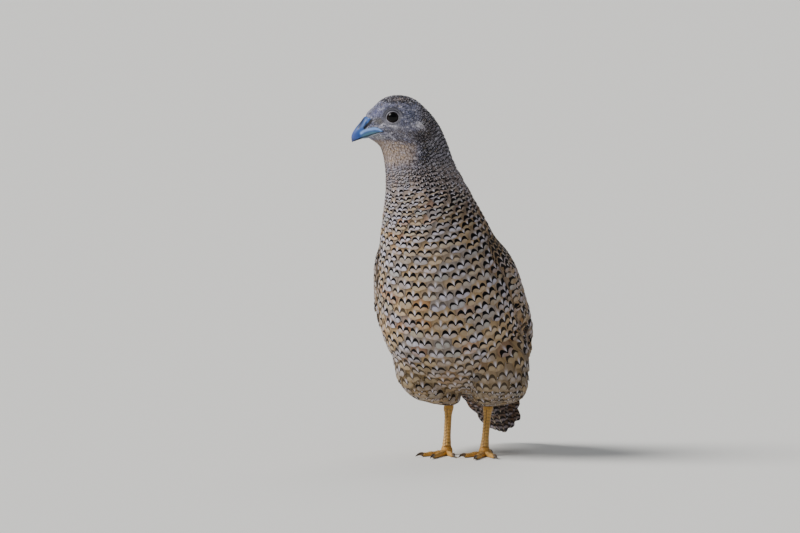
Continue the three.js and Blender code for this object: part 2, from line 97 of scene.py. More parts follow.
def head_point(ahead, above, side=0.0):
    """Places so far ahead of the middle between the eyes, above it and to its left."""
    ahead, above, side = (np.asarray(far, float)[..., None] for far in (ahead, above, side))
    return EYES + ahead * AHEAD + above * UP + side * HEAD_LEFT


def from_eyes(points):
    """How far places are ahead of the middle between the eyes, above it and to its left."""
    offset = points - EYES
    return offset @ AHEAD, offset @ UP, offset @ HEAD_LEFT


def unit(v):
    return v / np.maximum(np.linalg.norm(v, axis=-1, keepdims=True), 1e-9)


print("the solids stand", SHIFT.round(2), "mm from where they were drawn")

# %% [markdown]
# ## The camera
# The photograph was taken with a long lens from almost the bird's own height, a little to its
# left. From nine metres away a long lens shows 0.46 mm in each picture point.

# %% Camera
SENSOR_WIDTH = 36
AZIMUTH, ELEVATION = math.radians(15), math.radians(5)
DISTANCE = 9.0
MM_PER_PIXEL = 0.46
FRAME_PIXELS = (800, 533)
FEET_PIXEL = (466, 455)


def direction(azimuth, elevation):
    """The way to something seen at these angles, with the bird's front at azimuth 0."""
    level = math.cos(elevation)
    return Vector((math.sin(azimuth) * level, -math.cos(azimuth) * level, math.sin(elevation)))


def placed(name, data):
    """A new object in the scene that shows this camera, lamp or mesh."""
    made = bpy.data.objects.new(name, data)
    bpy.context.scene.collection.objects.link(made)
    return made


toward_camera = direction(AZIMUTH, ELEVATION)
camera_right = Vector((math.cos(AZIMUTH), math.sin(AZIMUTH), 0))
camera_up = toward_camera.cross(camera_right)
off_right = (FRAME_PIXELS[0] / 2 - FEET_PIXEL[0]) * MM_PER_PIXEL * MM
off_up = (FEET_PIXEL[1] - FRAME_PIXELS[1] / 2) * MM_PER_PIXEL * MM
aim = Vector(SHIFT) * MM + camera_right * off_right + camera_up * off_up
lens = bpy.data.cameras.new("camera")
lens.sensor_width = SENSOR_WIDTH
lens.lens = SENSOR_WIDTH * DISTANCE / (FRAME_PIXELS[0] * MM_PER_PIXEL * MM)
lens.clip_end = 100
camera = placed("camera", lens)
camera.location = aim + toward_camera * DISTANCE
camera.rotation_euler = toward_camera.to_track_quat("Z", "Y").to_euler()
bpy.context.scene.camera = camera
print("lens", round(lens.lens), "mm, aimed at", [round(v, 3) for v in aim])

# %% [markdown]
# ## Shader arithmetic
# A feather's markings are a small sum for every point of its surface. Blender does sums with
# Math nodes, which are slow to place by hand, so a Wire stands for a number that flows
# between nodes, and + - * / on it add the nodes.

# %% A number that flows between nodes
def connect(tree, node, feeds):
    """Give a node's inputs their values, or links from the nodes they flow from."""
    for place, value in feeds:
        if isinstance(value, Wire):
            tree.links.new(value.socket, node.inputs[place])
        else:
            node.inputs[place].default_value = value
    return node


class Wire:
    def __init__(self, tree, socket):
        self.tree = tree
        self.socket = socket

    def math(self, how, *others, clamp=False):
        node = self.tree.nodes.new("ShaderNodeMath")
        node.operation = how
        node.use_clamp = clamp
        connect(self.tree, node, enumerate((self, *others)))
        return Wire(self.tree, node.outputs[0])

    def __add__(self, other):
        return self.math("ADD", other)

    def __sub__(self, other):
        return self.math("SUBTRACT", other)

    def __rsub__(self, other):
        return (self * -1.0).math("ADD", other)

    def __mul__(self, other):
        return self.math("MULTIPLY", other)

    def __truediv__(self, other):
        return self.math("DIVIDE", other)

    def clip(self):
        return self.math("MULTIPLY", 1.0, clamp=True)

    def fade(self, start, end):
        """0 at start and 1 at end, with a soft step between."""
        node = self.tree.nodes.new("ShaderNodeMapRange")
        node.interpolation_type = "SMOOTHSTEP"
        connect(self.tree, node, enumerate((self, start, end)))
        return Wire(self.tree, node.outputs[0])


# %% A finish and the nodes that feed it
class Finish:
    """A material with one glossy shader, and short ways to add the nodes that feed it."""

    def __init__(self, name, **values):
        self.material = bpy.data.materials.new(name)
        self.material.use_nodes = True
        self.tree = self.material.node_tree
        self.shader = self.tree.nodes["Principled BSDF"]
        for label, value in values.items():
            self.shader.inputs[label.replace("_", " ")].default_value = value

    def node(self, kind, feeds=(), **settings):
        made = self.tree.nodes.new("ShaderNode" + kind)
        for key, value in settings.items():
            setattr(made, key, value)
        return connect(self.tree, made, feeds)

    def attribute(self, name):
        made = self.node("Attribute", attribute_name=name)
        return Wire(self.tree, made.outputs["Color"]), Wire(self.tree, made.outputs["Alpha"])

    def parts(self, wire):
        made = self.node("SeparateXYZ", [(0, wire)])
        return [Wire(self.tree, out) for out in made.outputs]

    def place(self):
        return Wire(self.tree, self.node("TexCoord").outputs["Object"])

    def noise(self, where, scale, detail=2.0, roughness=0.5):
        made = self.node("TexNoise", [("Vector", where), ("Scale", scale), ("Detail", detail),
                                      ("Roughness", roughness)])
        return Wire(self.tree, made.outputs["Fac"])

    def blend(self, share, first, second, how="MIX"):
        made = self.node("Mix", [(0, share), (6, first), (7, second)], data_type="RGBA",
                         blend_type=how)
        return Wire(self.tree, made.outputs[2])

    def toned(self, colour, shade):
        """The colour made lighter or darker by a number."""
        grey = self.node("CombineXYZ", [(channel, shade) for channel in range(3)]).outputs[0]
        return self.blend(1.0, colour, Wire(self.tree, grey), "MULTIPLY")

    def feed(self, label, wire):
        self.tree.links.new(wire.socket, self.shader.inputs[label])

    def bump(self, height, distance, strength=1.0):
        made = self.node("Bump", [("Height", height), ("Distance", distance),
                                  ("Strength", strength)])
        self.tree.links.new(made.outputs["Normal"], self.shader.inputs["Normal"])


# %% Colours as a screen shows them
def paint(red, green, blue):
    """A colour as it is read off a screen, from 0 to 255, as the light it stands for."""
    value = np.array([red, green, blue]) / 255
    return np.where(value < 0.04045, value / 12.92, ((value + 0.055) / 1.055) ** 2.4)


def rgba(colour):
    return (*[float(c) for c in colour], 1.0)


# %% [markdown]
# ## Floor and light
# The bird stands on a plain pale floor. The light in the photograph is that of an open sky,
# stronger from the picture's left, so that the bird's left flank is in shade. Three lamps of
# the kind that shines from far away give that evenly over the whole floor: a wide soft one
# from the picture's left, a very weak one from its right, and one from behind that picks out
# the edge of the back.

# %% Floor
floor_finish = Finish("pale_floor", Base_Color=rgba(paint(234, 233, 229)), Roughness=0.85)
grain = floor_finish.noise(floor_finish.place(), 60.0, 4.0)
floor_finish.bump(grain, 0.0004, 0.15)
FLOOR_REACH = 12.0
floor_mesh = bpy.data.meshes.new("floor")
floor_mesh.from_pydata([(x * FLOOR_REACH, y * FLOOR_REACH, 0.0)
                        for x, y in ((-1, -1), (1, -1), (1, 1), (-1, 1))], [], [(0, 1, 2, 3)])
floor_mesh.materials.append(floor_finish.material)
floor = placed("floor", floor_mesh)
floor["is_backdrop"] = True

# %% Lamps and sky
def soft_lamp(name, azimuth, elevation, spread, strength, colour):
    """A lamp so far away that it lights everything alike, as wide in the sky as its spread."""
    out = direction(math.radians(azimuth), math.radians(elevation))
    data = bpy.data.lights.new(name, "SUN")
    data.angle = math.radians(spread)
    data.energy = strength
    data.color = colour
    lamp = placed(name, data)
    lamp.location = out
    lamp.rotation_euler = out.to_track_quat("Z", "Y").to_euler()


soft_lamp("key_lamp", -63, 45, 30, 3.95, (1.0, 0.985, 0.965))
soft_lamp("side_lamp", 80, 30, 60, 0.03, (0.94, 0.97, 1.0))
soft_lamp("back_lamp", 185, 50, 40, 0.55, (1.0, 1.0, 1.0))
sky = bpy.data.worlds.new("sky")
sky.use_nodes = True
glow = sky.node_tree.nodes["Background"]
glow.inputs["Color"].default_value = (0.84, 0.89, 0.96, 1)
glow.inputs["Strength"].default_value = 0.205
bpy.context.scene.world = sky

# %% [markdown]
# ## The body form
# Under its feathers a quail is a smooth egg that runs up into a thin neck. A taxidermist
# winds such a form round a wire. Here the wire is a row of sections, each with a place, the
# way it leans and its half sizes, and a smooth curve runs through all of them.

# %% Sections of the body, from the tail to the neck
# x, y, z, turn to the right, lean of the back line, half width, front depth, back depth
trunk = np.array([
    [1.5, 60.0, 6.5, 0, 42, 7.0, 0.8, 0.8],
    [1.0, 54.0, 14.5, 0, 42, 9.5, 2.6, 2.6],
    [0.0, 47.5, 22.5, 0, 44, 11.0, 5.5, 5.0],
    [-1.0, 40.5, 30.0, 0, 47, 14.0, 9.0, 7.5],
    [-2.5, 32.5, 37.0, 0, 48, 20.0, 15.0, 11.5],
    [-4.9, 22.5, 45.5, 0, 48, 28.0, 23.5, 16.0],
    [-6.4, 10.0, 56.0, 0, 47, 32.8, 31.0, 20.0],
    [-6.7, -3.0, 68.0, 0, 40, 33.5, 33.0, 22.5],
    [-6.7, -12.0, 82.0, 0, 30, 31.5, 30.0, 22.0],
    [-7.7, -19.0, 96.0, 2, 24, 28.3, 25.5, 20.3],
    [-9.2, -24.0, 109.0, 14, 18, 25.2, 21.3, 19.6],
    [-11.6, -27.2, 120.0, 33, 12, 21.4, 18.5, 20.2],
    [-13.6, -29.1, 128.5, 52, 6, 16.6, 17.5, 19.8]])

# %% Sections of the head, from the throat to the crown
# throat ahead and above, crown ahead and above, half width, turn
head_rings = [
    (3.7, -25.5, -30.6, -23.4, 13.4, 62), (3.7, -21.5, -28.0, -18.0, 12.0, 68),
    (4.1, -18.2, -25.7, -12.0, 11.0, 70), (4.8, -15.8, -23.6, -7.2, 10.4, 70),
    (5.6, -14.2, -20.9, -2.2, 10.1, 70), (6.6, -13.1, -16.8, 2.8, 9.9, 70),
    (7.7, -12.2, -11.6, 7.4, 9.6, 70), (8.8, -11.4, -5.5, 9.8, 8.9, 70),
    (9.9, -10.7, 0.4, 9.6, 7.7, 70), (10.9, -10.2, 5.0, 7.7, 6.3, 70),
    (11.6, -9.8, 8.6, 4.4, 5.1, 70), (12.0, -9.3, 11.2, 1.9, 3.9, 70),
    (12.2, -8.2, 12.0, -0.2, 2.6, 70)]
WIDEST = 0.46


def head_section(throat_ahead, throat_above, crown_ahead, crown_above, half, turn):
    rise, back = crown_above - throat_above, throat_ahead - crown_ahead
    depth = math.hypot(rise, back)
    middle = head_point(throat_ahead - WIDEST * back, throat_above + WIDEST * rise)
    return [*middle, turn, math.degrees(math.atan2(rise, back)), half,
            WIDEST * depth, (1 - WIDEST) * depth]


sections = np.vstack([trunk, [head_section(*ring) for ring in head_rings]])
NECK_END = len(trunk)
HEAD_END = len(sections) - 1


def along(values, t):
    """The values at t, on a smooth curve through all the rows."""
    t = np.asarray(t, float)
    last = len(values) - 1
    k = np.clip(np.floor(t).astype(int), 0, last - 1)
    s = (t - k)[..., None]
    a, b, c, d = (values[np.clip(k + i, 0, last)] for i in (-1, 0, 1, 2))
    slope_b, slope_c = (c - a) / 2, (d - b) / 2
    return b + s * (slope_b + s * (3 * (c - b) - 2 * slope_b - slope_c
                                   + s * (2 * (b - c) + slope_b + slope_c)))


def ring_frame(t):
    """The middle of a section, the way to its left and to its back, and its half sizes."""
    row = along(sections, t)
    turn, lean = np.radians(row[..., 3]), np.radians(row[..., 4])
    left = np.stack([np.cos(turn), -np.sin(turn), 0 * turn], -1)
    back = np.stack([np.sin(turn) * np.cos(lean), np.cos(turn) * np.cos(lean), np.sin(lean)], -1)
    return row[..., :3], left, back, row[..., 5:8]


def body_point(t, angle):
    """A point of the body: angle 0 is its left side, and 90 its back."""
    angle = np.asarray(angle, float)[..., None]
    middle, left, back, halves = ring_frame(t)
    depth = np.where(np.sin(angle) > 0, halves[..., 2:3], halves[..., 1:2])
    return middle + left * halves[..., 0:1] * np.cos(angle) + back * depth * np.sin(angle)


print("the body runs over", HEAD_END, "sections, the head from", NECK_END)

# %% [markdown]
# ## One skin
# The solids of torso, neck, head and thighs meet with fine gaps. A real skin has none, so
# the forms are made again from the same sizes, laid into each other, and remeshed to one
# closed surface. Voxel remesh does that, and Smooth takes its steps away. The folded wings
# are taken from their solids, so that the skin swells where a wing lies on it.

# %% Forms for the skin
def full_turn(count):
    """Angles once round a circle."""
    return np.linspace(0, 2 * math.pi, count, endpoint=False)


def closed_tube(rings):
    """Points and faces of a tube through rings of points, closed at both ends."""
    rings = np.asarray(rings)
    rows, count = rings.shape[:2]
    points = [*rings.reshape(-1, 3), rings[0].mean(0), rings[-1].mean(0)]
    faces = [(k * count + i, k * count + (i + 1) % count,
              (k + 1) * count + (i + 1) % count, (k + 1) * count + i)
             for k in range(rows - 1) for i in range(count)]
    first, last = rows * count, rows * count + 1
    faces += [(first, (i + 1) % count, i) for i in range(count)]
    end = (rows - 1) * count
    faces += [(last, end + i, end + (i + 1) % count) for i in range(count)]
    return points, faces


def body_rings(start, end, steps, count):
    t = np.linspace(start, end, steps)[:, None]
    return body_point(*np.broadcast_arrays(t, full_turn(count)))


# %% Sizes of the thighs
HEEL_HEIGHT = 22.0
# x, y, z, half width, half depth of the feathered leg, from the flank to the heel
thigh_sizes = np.array([
    [14.0, 1.0, 62.0, 10.0, 13.0], [16.0, 0.5, 54.0, 14.5, 18.0], [16.5, 0.5, 46.0, 15.5, 19.0],
    [16.6, 1.2, 38.0, 14.6, 17.2], [16.2, 2.2, 31.0, 13.4, 14.0], [14.0, 3.4, 25.4, 10.8, 9.6],
    [10.0, 4.3, HEEL_HEIGHT + 0.5, 4.0, 4.2]])
THIGH_LEAN, LEANS_BELOW = 2.4, 40.0


def thigh_ring(side, step):
    """The middle of the thigh at a step of its sizes, and its half width and depth."""
    x, y, z, wide, deep = along(thigh_sizes, step)
    s = min(1.0, max(0.0, (z - HEEL_HEIGHT) / (LEANS_BELOW - HEEL_HEIGHT)))
    return np.array([side * x - THIGH_LEAN * s * s * (3 - 2 * s), y, z]), wide, deep


def thigh_rings(side):
    turn = full_turn(48)
    rings = []
    for step in np.linspace(0, len(thigh_sizes) - 1, 40):
        middle, wide, deep = thigh_ring(side, step)
        rings.append(middle + np.stack([wide * np.cos(turn), deep * np.sin(turn), 0 * turn], -1))
    return rings


# %% All forms in one mesh
def swollen(name, by):
    """A copy of a solid as points and faces, grown by so many millimetres."""
    data = solids[name].data
    points = np.array([v.co for v in data.vertices]) / MM - SHIFT
    normals = np.array([v.normal for v in data.vertices])
    return points + normals * by, [tuple(p.vertices) for p in data.polygons]


def mesh_object(name, points, faces):
    """A new object from points in millimetres."""
    data = bpy.data.meshes.new(name)
    data.from_pydata(((np.asarray(points) + SHIFT) * MM).tolist(), [], faces)
    return placed(name, data)


TAIL_STUB = 1.6
WING_SWELL = 0.3
forms = [closed_tube(body_rings(TAIL_STUB, HEAD_END, 240, 120)),
         closed_tube(thigh_rings(1)), closed_tube(thigh_rings(-1)),
         swollen("wing_left", WING_SWELL), swollen("wing_right", WING_SWELL)]
all_points, all_faces = [], []
for points, faces in forms:
    start = len(all_points)
    all_points.extend(points)
    all_faces.extend(tuple(start + i for i in face) for face in faces)
rough = mesh_object("rough_form", all_points, all_faces)

# %% Remesh and smooth the skin
VOXEL = 0.75 * MM
SMOOTHINGS = 14


def settled(made):
    """The object's mesh with its modifiers applied, as a new mesh."""
    graph = bpy.context.evaluated_depsgraph_get()
    return bpy.data.meshes.new_from_object(made.evaluated_get(graph))


remesh = rough.modifiers.new("remesh", "REMESH")
remesh.mode = "VOXEL"
remesh.voxel_size = VOXEL
smooth = rough.modifiers.new("smooth", "SMOOTH")
smooth.factor = 0.5
smooth.iterations = SMOOTHINGS
skin_mesh = settled(rough)
bpy.data.objects.remove(rough)
print("the skin has", len(skin_mesh.polygons), "faces")

# %% [markdown]
# ## The depth of the coat
# The solids show the outside of the feathers, so the skin has to lie deeper: two
# millimetres on the breast and belly, less on the neck, and next to nothing at the bill.
# Round each eye it is pressed in to a shallow socket.

# %% Where on the body a point is
SPINE_STEPS = np.linspace(0.0, HEAD_END, 360)
AT_ONCE = 4000
spine_middle, spine_left, spine_back, spine_halves = ring_frame(SPINE_STEPS)
spine_normal = np.cross(spine_left, spine_back)


def spine_place(points):
    """t along the body and the angle round it, for points on or near the skin."""
    found = np.zeros(len(points))
    turned = np.zeros(len(points))
    for start in range(0, len(points), AT_ONCE):
        p = points[start:start + AT_ONCE]
        offset = p[:, None] - spine_middle[None]
        off_plane = np.abs((offset * spine_normal[None]).sum(-1))
        x = (offset * spine_left[None]).sum(-1)
        y = (offset * spine_back[None]).sum(-1)
        deep = np.where(y > 0, spine_halves[:, 2], spine_halves[:, 1])
        far = np.maximum(np.hypot(x / spine_halves[:, 0], y / deep) - 1.6, 0)
        best = np.argmin(off_plane + 40 * far, axis=1)
        rows = np.arange(len(p))
        found[start:start + AT_ONCE] = SPINE_STEPS[best]
        turned[start:start + AT_ONCE] = np.arctan2(y[rows, best] / deep[rows, best],
                                                   x[rows, best] / spine_halves[best, 0])
    return found, turned


def ease(value, start, end):
    """0 at start and 1 at end, with a soft step between."""
    s = np.clip((value - start) / (end - start), 0, 1)
    return s * s * (3 - 2 * s)


# %% Move the skin in by the depth of the coat
BILL_BASE = head_point(11.5, -5.0)
COAT = 2.1
SOCKET_REACH, SOCKET_SIDE = 4.4, 7.2


def coat_depth(points, t):
    """How deep the skin lies under the feathers' outside, in millimetres."""
    face = np.linalg.norm(points - BILL_BASE, axis=1)
    depth = COAT - 0.7 * ease(t, 9.5, 12.5) - 0.75 * ease(t, 12.5, 15.5)
    depth = np.minimum(depth, 0.15 + 0.5 * ease(face, 1, 12) + 2.0 * ease(face, 12, 40))
    legs = ease(points[:, 2], 44, 30) * ease(t, 7.5, 5.5)
    return np.where(legs > 0, np.minimum(depth, COAT - 0.9 * legs), depth)


def read_off(items, what, width, kind=np.float32):
    """One value of all points or corners of a mesh, as rows of so many numbers."""
    found = np.zeros(len(items) * width, kind)
    items.foreach_get(what, found)
    return found.reshape(-1, width)


skin_points = read_off(skin_mesh.vertices, "co", 3).astype(float) / MM - SHIFT
normals = read_off(skin_mesh.vertex_normals, "vector", 3)
skin_t, skin_angle = spine_place(skin_points)
skin_points -= normals * coat_depth(skin_points, skin_t)[:, None]
ahead, above, out = from_eyes(skin_points)
eye_gap = np.hypot(ahead, above)
deepest = SOCKET_SIDE + 3.0 * ease(eye_gap, 2.4, SOCKET_REACH)
pressed = (eye_gap < SOCKET_REACH) & (np.abs(out) > deepest)
skin_points[pressed] -= ((np.abs(out) - deepest) * np.sign(out))[pressed, None] * HEAD_LEFT
skin_mesh.vertices.foreach_set("co", ((skin_points + SHIFT) * MM).astype(np.float32).ravel())
skin_mesh.update()
skin_mesh.name = "skin"
skin = placed("skin", skin_mesh)
for polygon in skin_mesh.polygons:
    polygon.use_smooth = True
print("the coat is", coat_depth(skin_points, skin_t).round(2).min(), "to", COAT, "mm deep")

# %% [markdown]
# ## Touching the skin
# Every feather is laid on the skin by asking for the nearest place on it. A tree of its
# triangles answers quickly, and the corners of the triangle that was found give a smooth
# direction there, and the place on the unwrapped skin, round which the feather's own unwrap is
# laid.

# %% Unwrap the skin
bpy.context.view_layer.objects.active = skin
skin.select_set(True)
bpy.ops.object.mode_set(mode="EDIT")
bpy.ops.mesh.select_all(action="SELECT")
bpy.ops.uv.smart_project(angle_limit=math.radians(70), island_margin=0.004)
bpy.ops.object.mode_set(mode="OBJECT")
skin_mesh = skin.data
skin_mesh.uv_layers[0].name = "OFBake"

# %% A tree that finds the nearest place on the skin
BEAM_REACH = 70.0


class Ground:
    """A surface that can be touched: nearest places, smooth directions and its unwrap."""

    def __init__(self, mesh):
        mesh.calc_loop_triangles()
        self.corners = read_off(mesh.loop_triangles, "vertices", 3, np.int32)
        self.points = read_off(mesh.vertices, "co", 3).astype(float) / MM - SHIFT
        self.normals = read_off(mesh.vertex_normals, "vector", 3).astype(float)
        loops = read_off(mesh.loop_triangles, "loops", 3, np.int32)
        self.unwrap = read_off(mesh.uv_layers["OFBake"].data, "uv", 2)[loops]
        self.tree = BVHTree.FromPolygons(self.points.tolist(), self.corners.tolist())

    def touch(self, points):
        """Nearest places on the surface, the direction out of it, and its unwrapped place."""
        shape = points.shape
        nearest = self.tree.find_nearest
        found = [nearest(p) for p in points.reshape(-1, 3).tolist()]
        place = np.array([tuple(f[0]) for f in found])
        index = np.array([f[2] for f in found])
        a, b, c = (self.points[self.corners[index, k]] for k in range(3))
        normal = np.cross(b - a, c - a)
        area = np.maximum((normal ** 2).sum(-1), 1e-12)
        share_b = (np.cross(place - a, c - a) * normal).sum(-1) / area
        share_c = (np.cross(b - a, place - a) * normal).sum(-1) / area
        shares = np.stack([1 - share_b - share_c, share_b, share_c], -1)[..., None]
        out = unit((self.normals[self.corners[index]] * shares).sum(1))
        unwrapped = (self.unwrap[index] * shares).sum(1)
        return place.reshape(shape), out.reshape(shape), unwrapped.reshape(*shape[:-1], 2)

    def beam(self, start, direction):
        """Where a beam that starts inside the body leaves it last, or None."""
        far = start + direction * BEAM_REACH
        hit = self.tree.ray_cast(Vector(far), Vector(-direction), BEAM_REACH)
        return None if hit[0] is None else np.array(hit[0])


ground = Ground(skin_mesh)
print("the skin's tree has", len(ground.corners), "triangles")

# %% [markdown]
# ## The lie of the feathers
# Feathers point away from the bill, over the crown and cheeks and down the throat, then
# tailward along the body, and down the thighs. One rule gives that direction anywhere.

# %% Direction of the feathers
def lie(points, normals, t):
    """The direction a feather points at these places, along the surface."""
    step = 0.15
    tailward = unit(ring_frame(np.maximum(t - step, 0))[0]
                    - ring_frame(np.minimum(t + step, HEAD_END))[0])
    from_bill = points - BILL_BASE
    far = np.linalg.norm(from_bill, axis=-1)[..., None]
    falling = unit(from_bill) - UP * 1.1 * ease(far, 10, 34)
    on_head = ease(t, 11.5, 14.5)[..., None]
    direction = unit(falling) * on_head + tailward * (1 - on_head)
    leg = (ease(points[..., 2], 52, 38) * ease(t, 7.5, 6.0) * ease(t, 3.2, 4.2))[..., None]
    direction = direction * (1 - leg) + np.array([0.0, 0.12, -1.0]) * leg
    ahead, above, _out = from_eyes(points)
    spoke = ahead[..., None] * AHEAD + above[..., None] * UP
    near = ease(np.linalg.norm(spoke, axis=-1), 8.0, 4.4)[..., None] * on_head
    inward = np.minimum((direction * unit(spoke)).sum(-1, keepdims=True), 0)
    direction = direction - unit(spoke) * (inward - 0.12) * near
    direction = direction - normals * (direction * normals).sum(-1, keepdims=True)
    return unit(direction)


# %% [markdown]
# ## Markings
# On the breast and belly every feather carries one black bar like a gull in flight: two arms
# that arch up and meet in a point on the shaft. Inside that point the shaft is whitish, there
# is a lavender grey pearl under each arm, and the rest is buff. On the back and wings the
# ground is darker and browner, with a cream line down the shaft and black blotches. The face
# is pale grey with fine flecks, and the throat plain buff. One function gives it for any
# place of body and head, a short list gives the marks of the face, measured from the eye, and
# the long feathers of wings and tail have a small function of their own.

# %% Colours of the plumage
LAVENDER = paint(194, 190, 208)
PALE = paint(228, 225, 238)
GREIGE = paint(152, 144, 142)
BUFF = paint(184, 152, 106)
RUFOUS = paint(168, 104, 50)
BEIGE = paint(206, 182, 146)
MOSS = paint(168, 168, 152)
OLIVE = paint(104, 88, 62)
BROWN = paint(114, 92, 70)
DARK_BROWN = paint(62, 49, 39)
BLACK = paint(9, 8, 10)
FACE_GREY = paint(140, 142, 170)
CROWN_GREY = paint(116, 112, 120)
EAR_BLUE = paint(84, 92, 118)
FOREHEAD = paint(134, 136, 188)
THROAT_BUFF = paint(172, 153, 143)
CREAM = paint(212, 202, 180)

# %% Marks of the face
# ahead of and above the eye, reach along and across, turn, colour, strength
FACE_MARKS = [
    (6.3, -1.6, 2.4, 1.7, 0, paint(120, 114, 100), 0.85),
    (8.6, 3.4, 3.4, 2.6, 45, FOREHEAD, 0.75),
    (-2.5, -7.0, 5.0, 2.4, 0, paint(158, 149, 150), 0.55),
    (6.0, -9.3, 3.0, 1.2, 0, paint(188, 184, 184), 0.70),
    (-8.6, 0.8, 2.0, 2.7, 0, EAR_BLUE, 0.75),
    (-12.3, -3.9, 1.7, 1.3, 20, PALE, 1.50),
    (4.7, -3.8, 2.0, 0.65, -36, PALE, 0.95),
    (0.0, -4.0, 3.2, 0.65, 8, PALE, 0.85),
    (-6.0, 8.0, 5.0, 0.62, 0, paint(220, 198, 190), 1.00),
    (-7.0, 6.9, 4.2, 0.50, 0, BLACK, 0.85),
    (-5.0, 9.4, 4.6, 0.50, 0, BLACK, 0.80),
    (-4.3, -10.7, 3.8, 0.60, 32, DARK_BROWN, 0.85),
    (-9.5, -9.0, 4.0, 3.0, 30, paint(104, 92, 84), 0.60),
    (-14.5, -8.5, 3.5, 4.5, 0, paint(96, 84, 74), 0.60),
    (2.6, -6.4, 2.0, 0.35, -17, BLACK, 0.75),
    (4.6, 7.2, 1.0, 0.75, 50, BLACK, 0.95), (7.4, 6.0, 0.8, 0.55, 50, BLACK, 0.80),
    (1.2, 6.6, 2.0, 0.35, 12, BLACK, 0.70), (-3.2, 5.2, 2.4, 0.35, -6, DARK_BROWN, 0.55),
    (-12.5, -8.6, 1.3, 1.0, 20, BLACK, 0.70), (-14.6, -10.6, 1.5, 1.1, 60, BLACK, 0.75),
    (-11.2, -12.0, 1.6, 0.8, 30, BLACK, 0.65), (-15.6, -14.4, 2.0, 1.6, 0, BLACK, 0.60)]
EYE_RINGS = [(3.45, 0.40, PALE, 0.75), (4.45, 0.32, BLACK, 0.55)]


# %% Lay tones over each other
def mixed(first, second, share):
    share = np.asarray(share)[..., None]
    return first * (1 - share) + second * share


def layered(tone, *layers):
    """A tone with others laid over it one by one, each with its share."""
    for colour, share in layers:
        tone = mixed(tone, colour, share)
    return tone


def soft_noise(points, scale, seed):
    """Smooth random values from 0 to 1 that drift over so many millimetres."""
    rng = np.random.default_rng(seed)
    waves = rng.normal(size=(10, 3)) / scale
    phases = rng.uniform(0, 2 * math.pi, 10)
    total = np.sin(points @ waves.T * 2.2 + phases).sum(-1)
    return np.clip(0.5 + total / 7.0, 0, 1)


def marked_face(colour, ahead, above, out):
    """The colour of the face with its marks, and how light or dark they make it."""
    sides = ease(np.abs(out), 2.5, 5.0)
    light = np.zeros(len(ahead))
    for at_ahead, at_above, along_it, across_it, turn, tone, strength in FACE_MARKS:
        c, k = math.cos(math.radians(turn)), math.sin(math.radians(turn))
        x, y = ahead - at_ahead, above - at_above
        share = np.exp(-((c * x + k * y) / along_it) ** 2 - ((c * y - k * x) / across_it) ** 2)
        share = np.clip(share * 1.25 * strength, 0, min(1, strength)) * sides
        colour = mixed(colour, tone, share)
        if tone is PALE:
            light = np.maximum(light, share)
    far = np.hypot(ahead, above)
    for radius, width, tone, strength in EYE_RINGS:
        share = np.exp(-((far - radius) / width) ** 2) * strength * sides
        if tone is BLACK:
            share = share * ease(above, -0.5, 2.0)
        colour = mixed(colour, tone, share)
    return colour, light


# %% Regions of the plumage
def regions_at(points, t, angle):
    """How far each place belongs to each region of the bird, from 0 to 1."""
    turned = np.abs((np.degrees(angle) + 270) % 360 - 180)
    ahead, above, out = from_eyes(points)
    back = ease(turned, 94, 132) * ease(t, 12.0, 10.0)
    nape = ease(turned, 88, 140)
    upper = ease(t, 9.8, 12.2)
    throat = (1 - nape) * ease(t, 13.2, 14.4) * ease(above, -10.5, -13.5) * ease(ahead, -13, -7)
    front = ease(ahead, -8, 0) * ease(above, -9.5, -12) * ease(above, -25, -18)
    throat = np.maximum(throat, front)
    on_head = ease(t, 12.6, 14.4)
    crown = np.clip(ease(above, 5.2, 7.4) + ease(ahead, -11, -17) * ease(above, -8, 1), 0, 1)
    return SimpleNamespace(
        ahead=ahead, above=above, out=out, back=back, nape=nape, upper=upper, throat=throat,
        flank=ease(turned, 42, 92), nape_low=nape * upper * ease(t, 14.4, 13.0),
        low=ease(points[:, 2], 60, 36) * (1 - back), face=on_head * (1 - throat),
        vent=ease(points[:, 2], 44, 30) * ease(points[:, 1], 14, 26), crown=crown * on_head,
        behind=ease(ahead, -9, -14), scattered_up=ease(t, 11.0, 11.8),
        breast_top=ease(t, 8.5, 11.0),
        parting=ease(np.abs(np.degrees(angle) + 84), 8, 2) * ease(t, 9.6, 8.4))


# %% Tones of body, head and throat
def body_tone(at, rusty, jitter):
    return layered(
        mixed(GREIGE, BUFF, 0.12 + 0.66 * rusty),
        (RUFOUS, 0.45 * ease(jitter[:, 1], 0.70, 0.95)),
        # the flanks browner and darker: partly their own colour, partly painted shade on the
        # body's sides
        (mixed(BROWN, BUFF, 0.20), 0.62 * at.flank),
        # the lower body darker and more olive: partly its own colour, partly painted shade low on
        # the body
        (mixed(OLIVE, BUFF, 0.15 + 0.25 * jitter[:, 2]), 0.75 * at.low),
        (mixed(BROWN, RUFOUS, 0.05 + 0.28 * rusty), 0.80 * at.back),
        (DARK_BROWN, 0.75 * at.vent),
        (mixed(FACE_GREY, GREIGE, 0.5), 0.50 * at.upper),
        (mixed(BLACK, GREIGE, 0.50), 0.40 * at.nape * at.upper))


def head_tone(at, jitter):
    """The colour of the head, and how light its white marks make it."""
    dark_fleck = ease(jitter[:, 0], 0.15 - 0.45 * at.crown, 0.80)
    tone = layered(
        mixed(FACE_GREY, CROWN_GREY, at.crown),
        (mixed(CROWN_GREY, GREIGE, 0.5), 0.8 * ease(at.ahead, -10, -15)),
        (mixed(EAR_BLUE, BLACK, 0.75), (0.66 + 0.26 * at.crown) * dark_fleck),
        (PALE, (0.62 - 0.25 * at.crown) * ease(-jitter[:, 0], 0.35, 0.9)))
    return marked_face(tone, at.ahead, at.above, at.out)


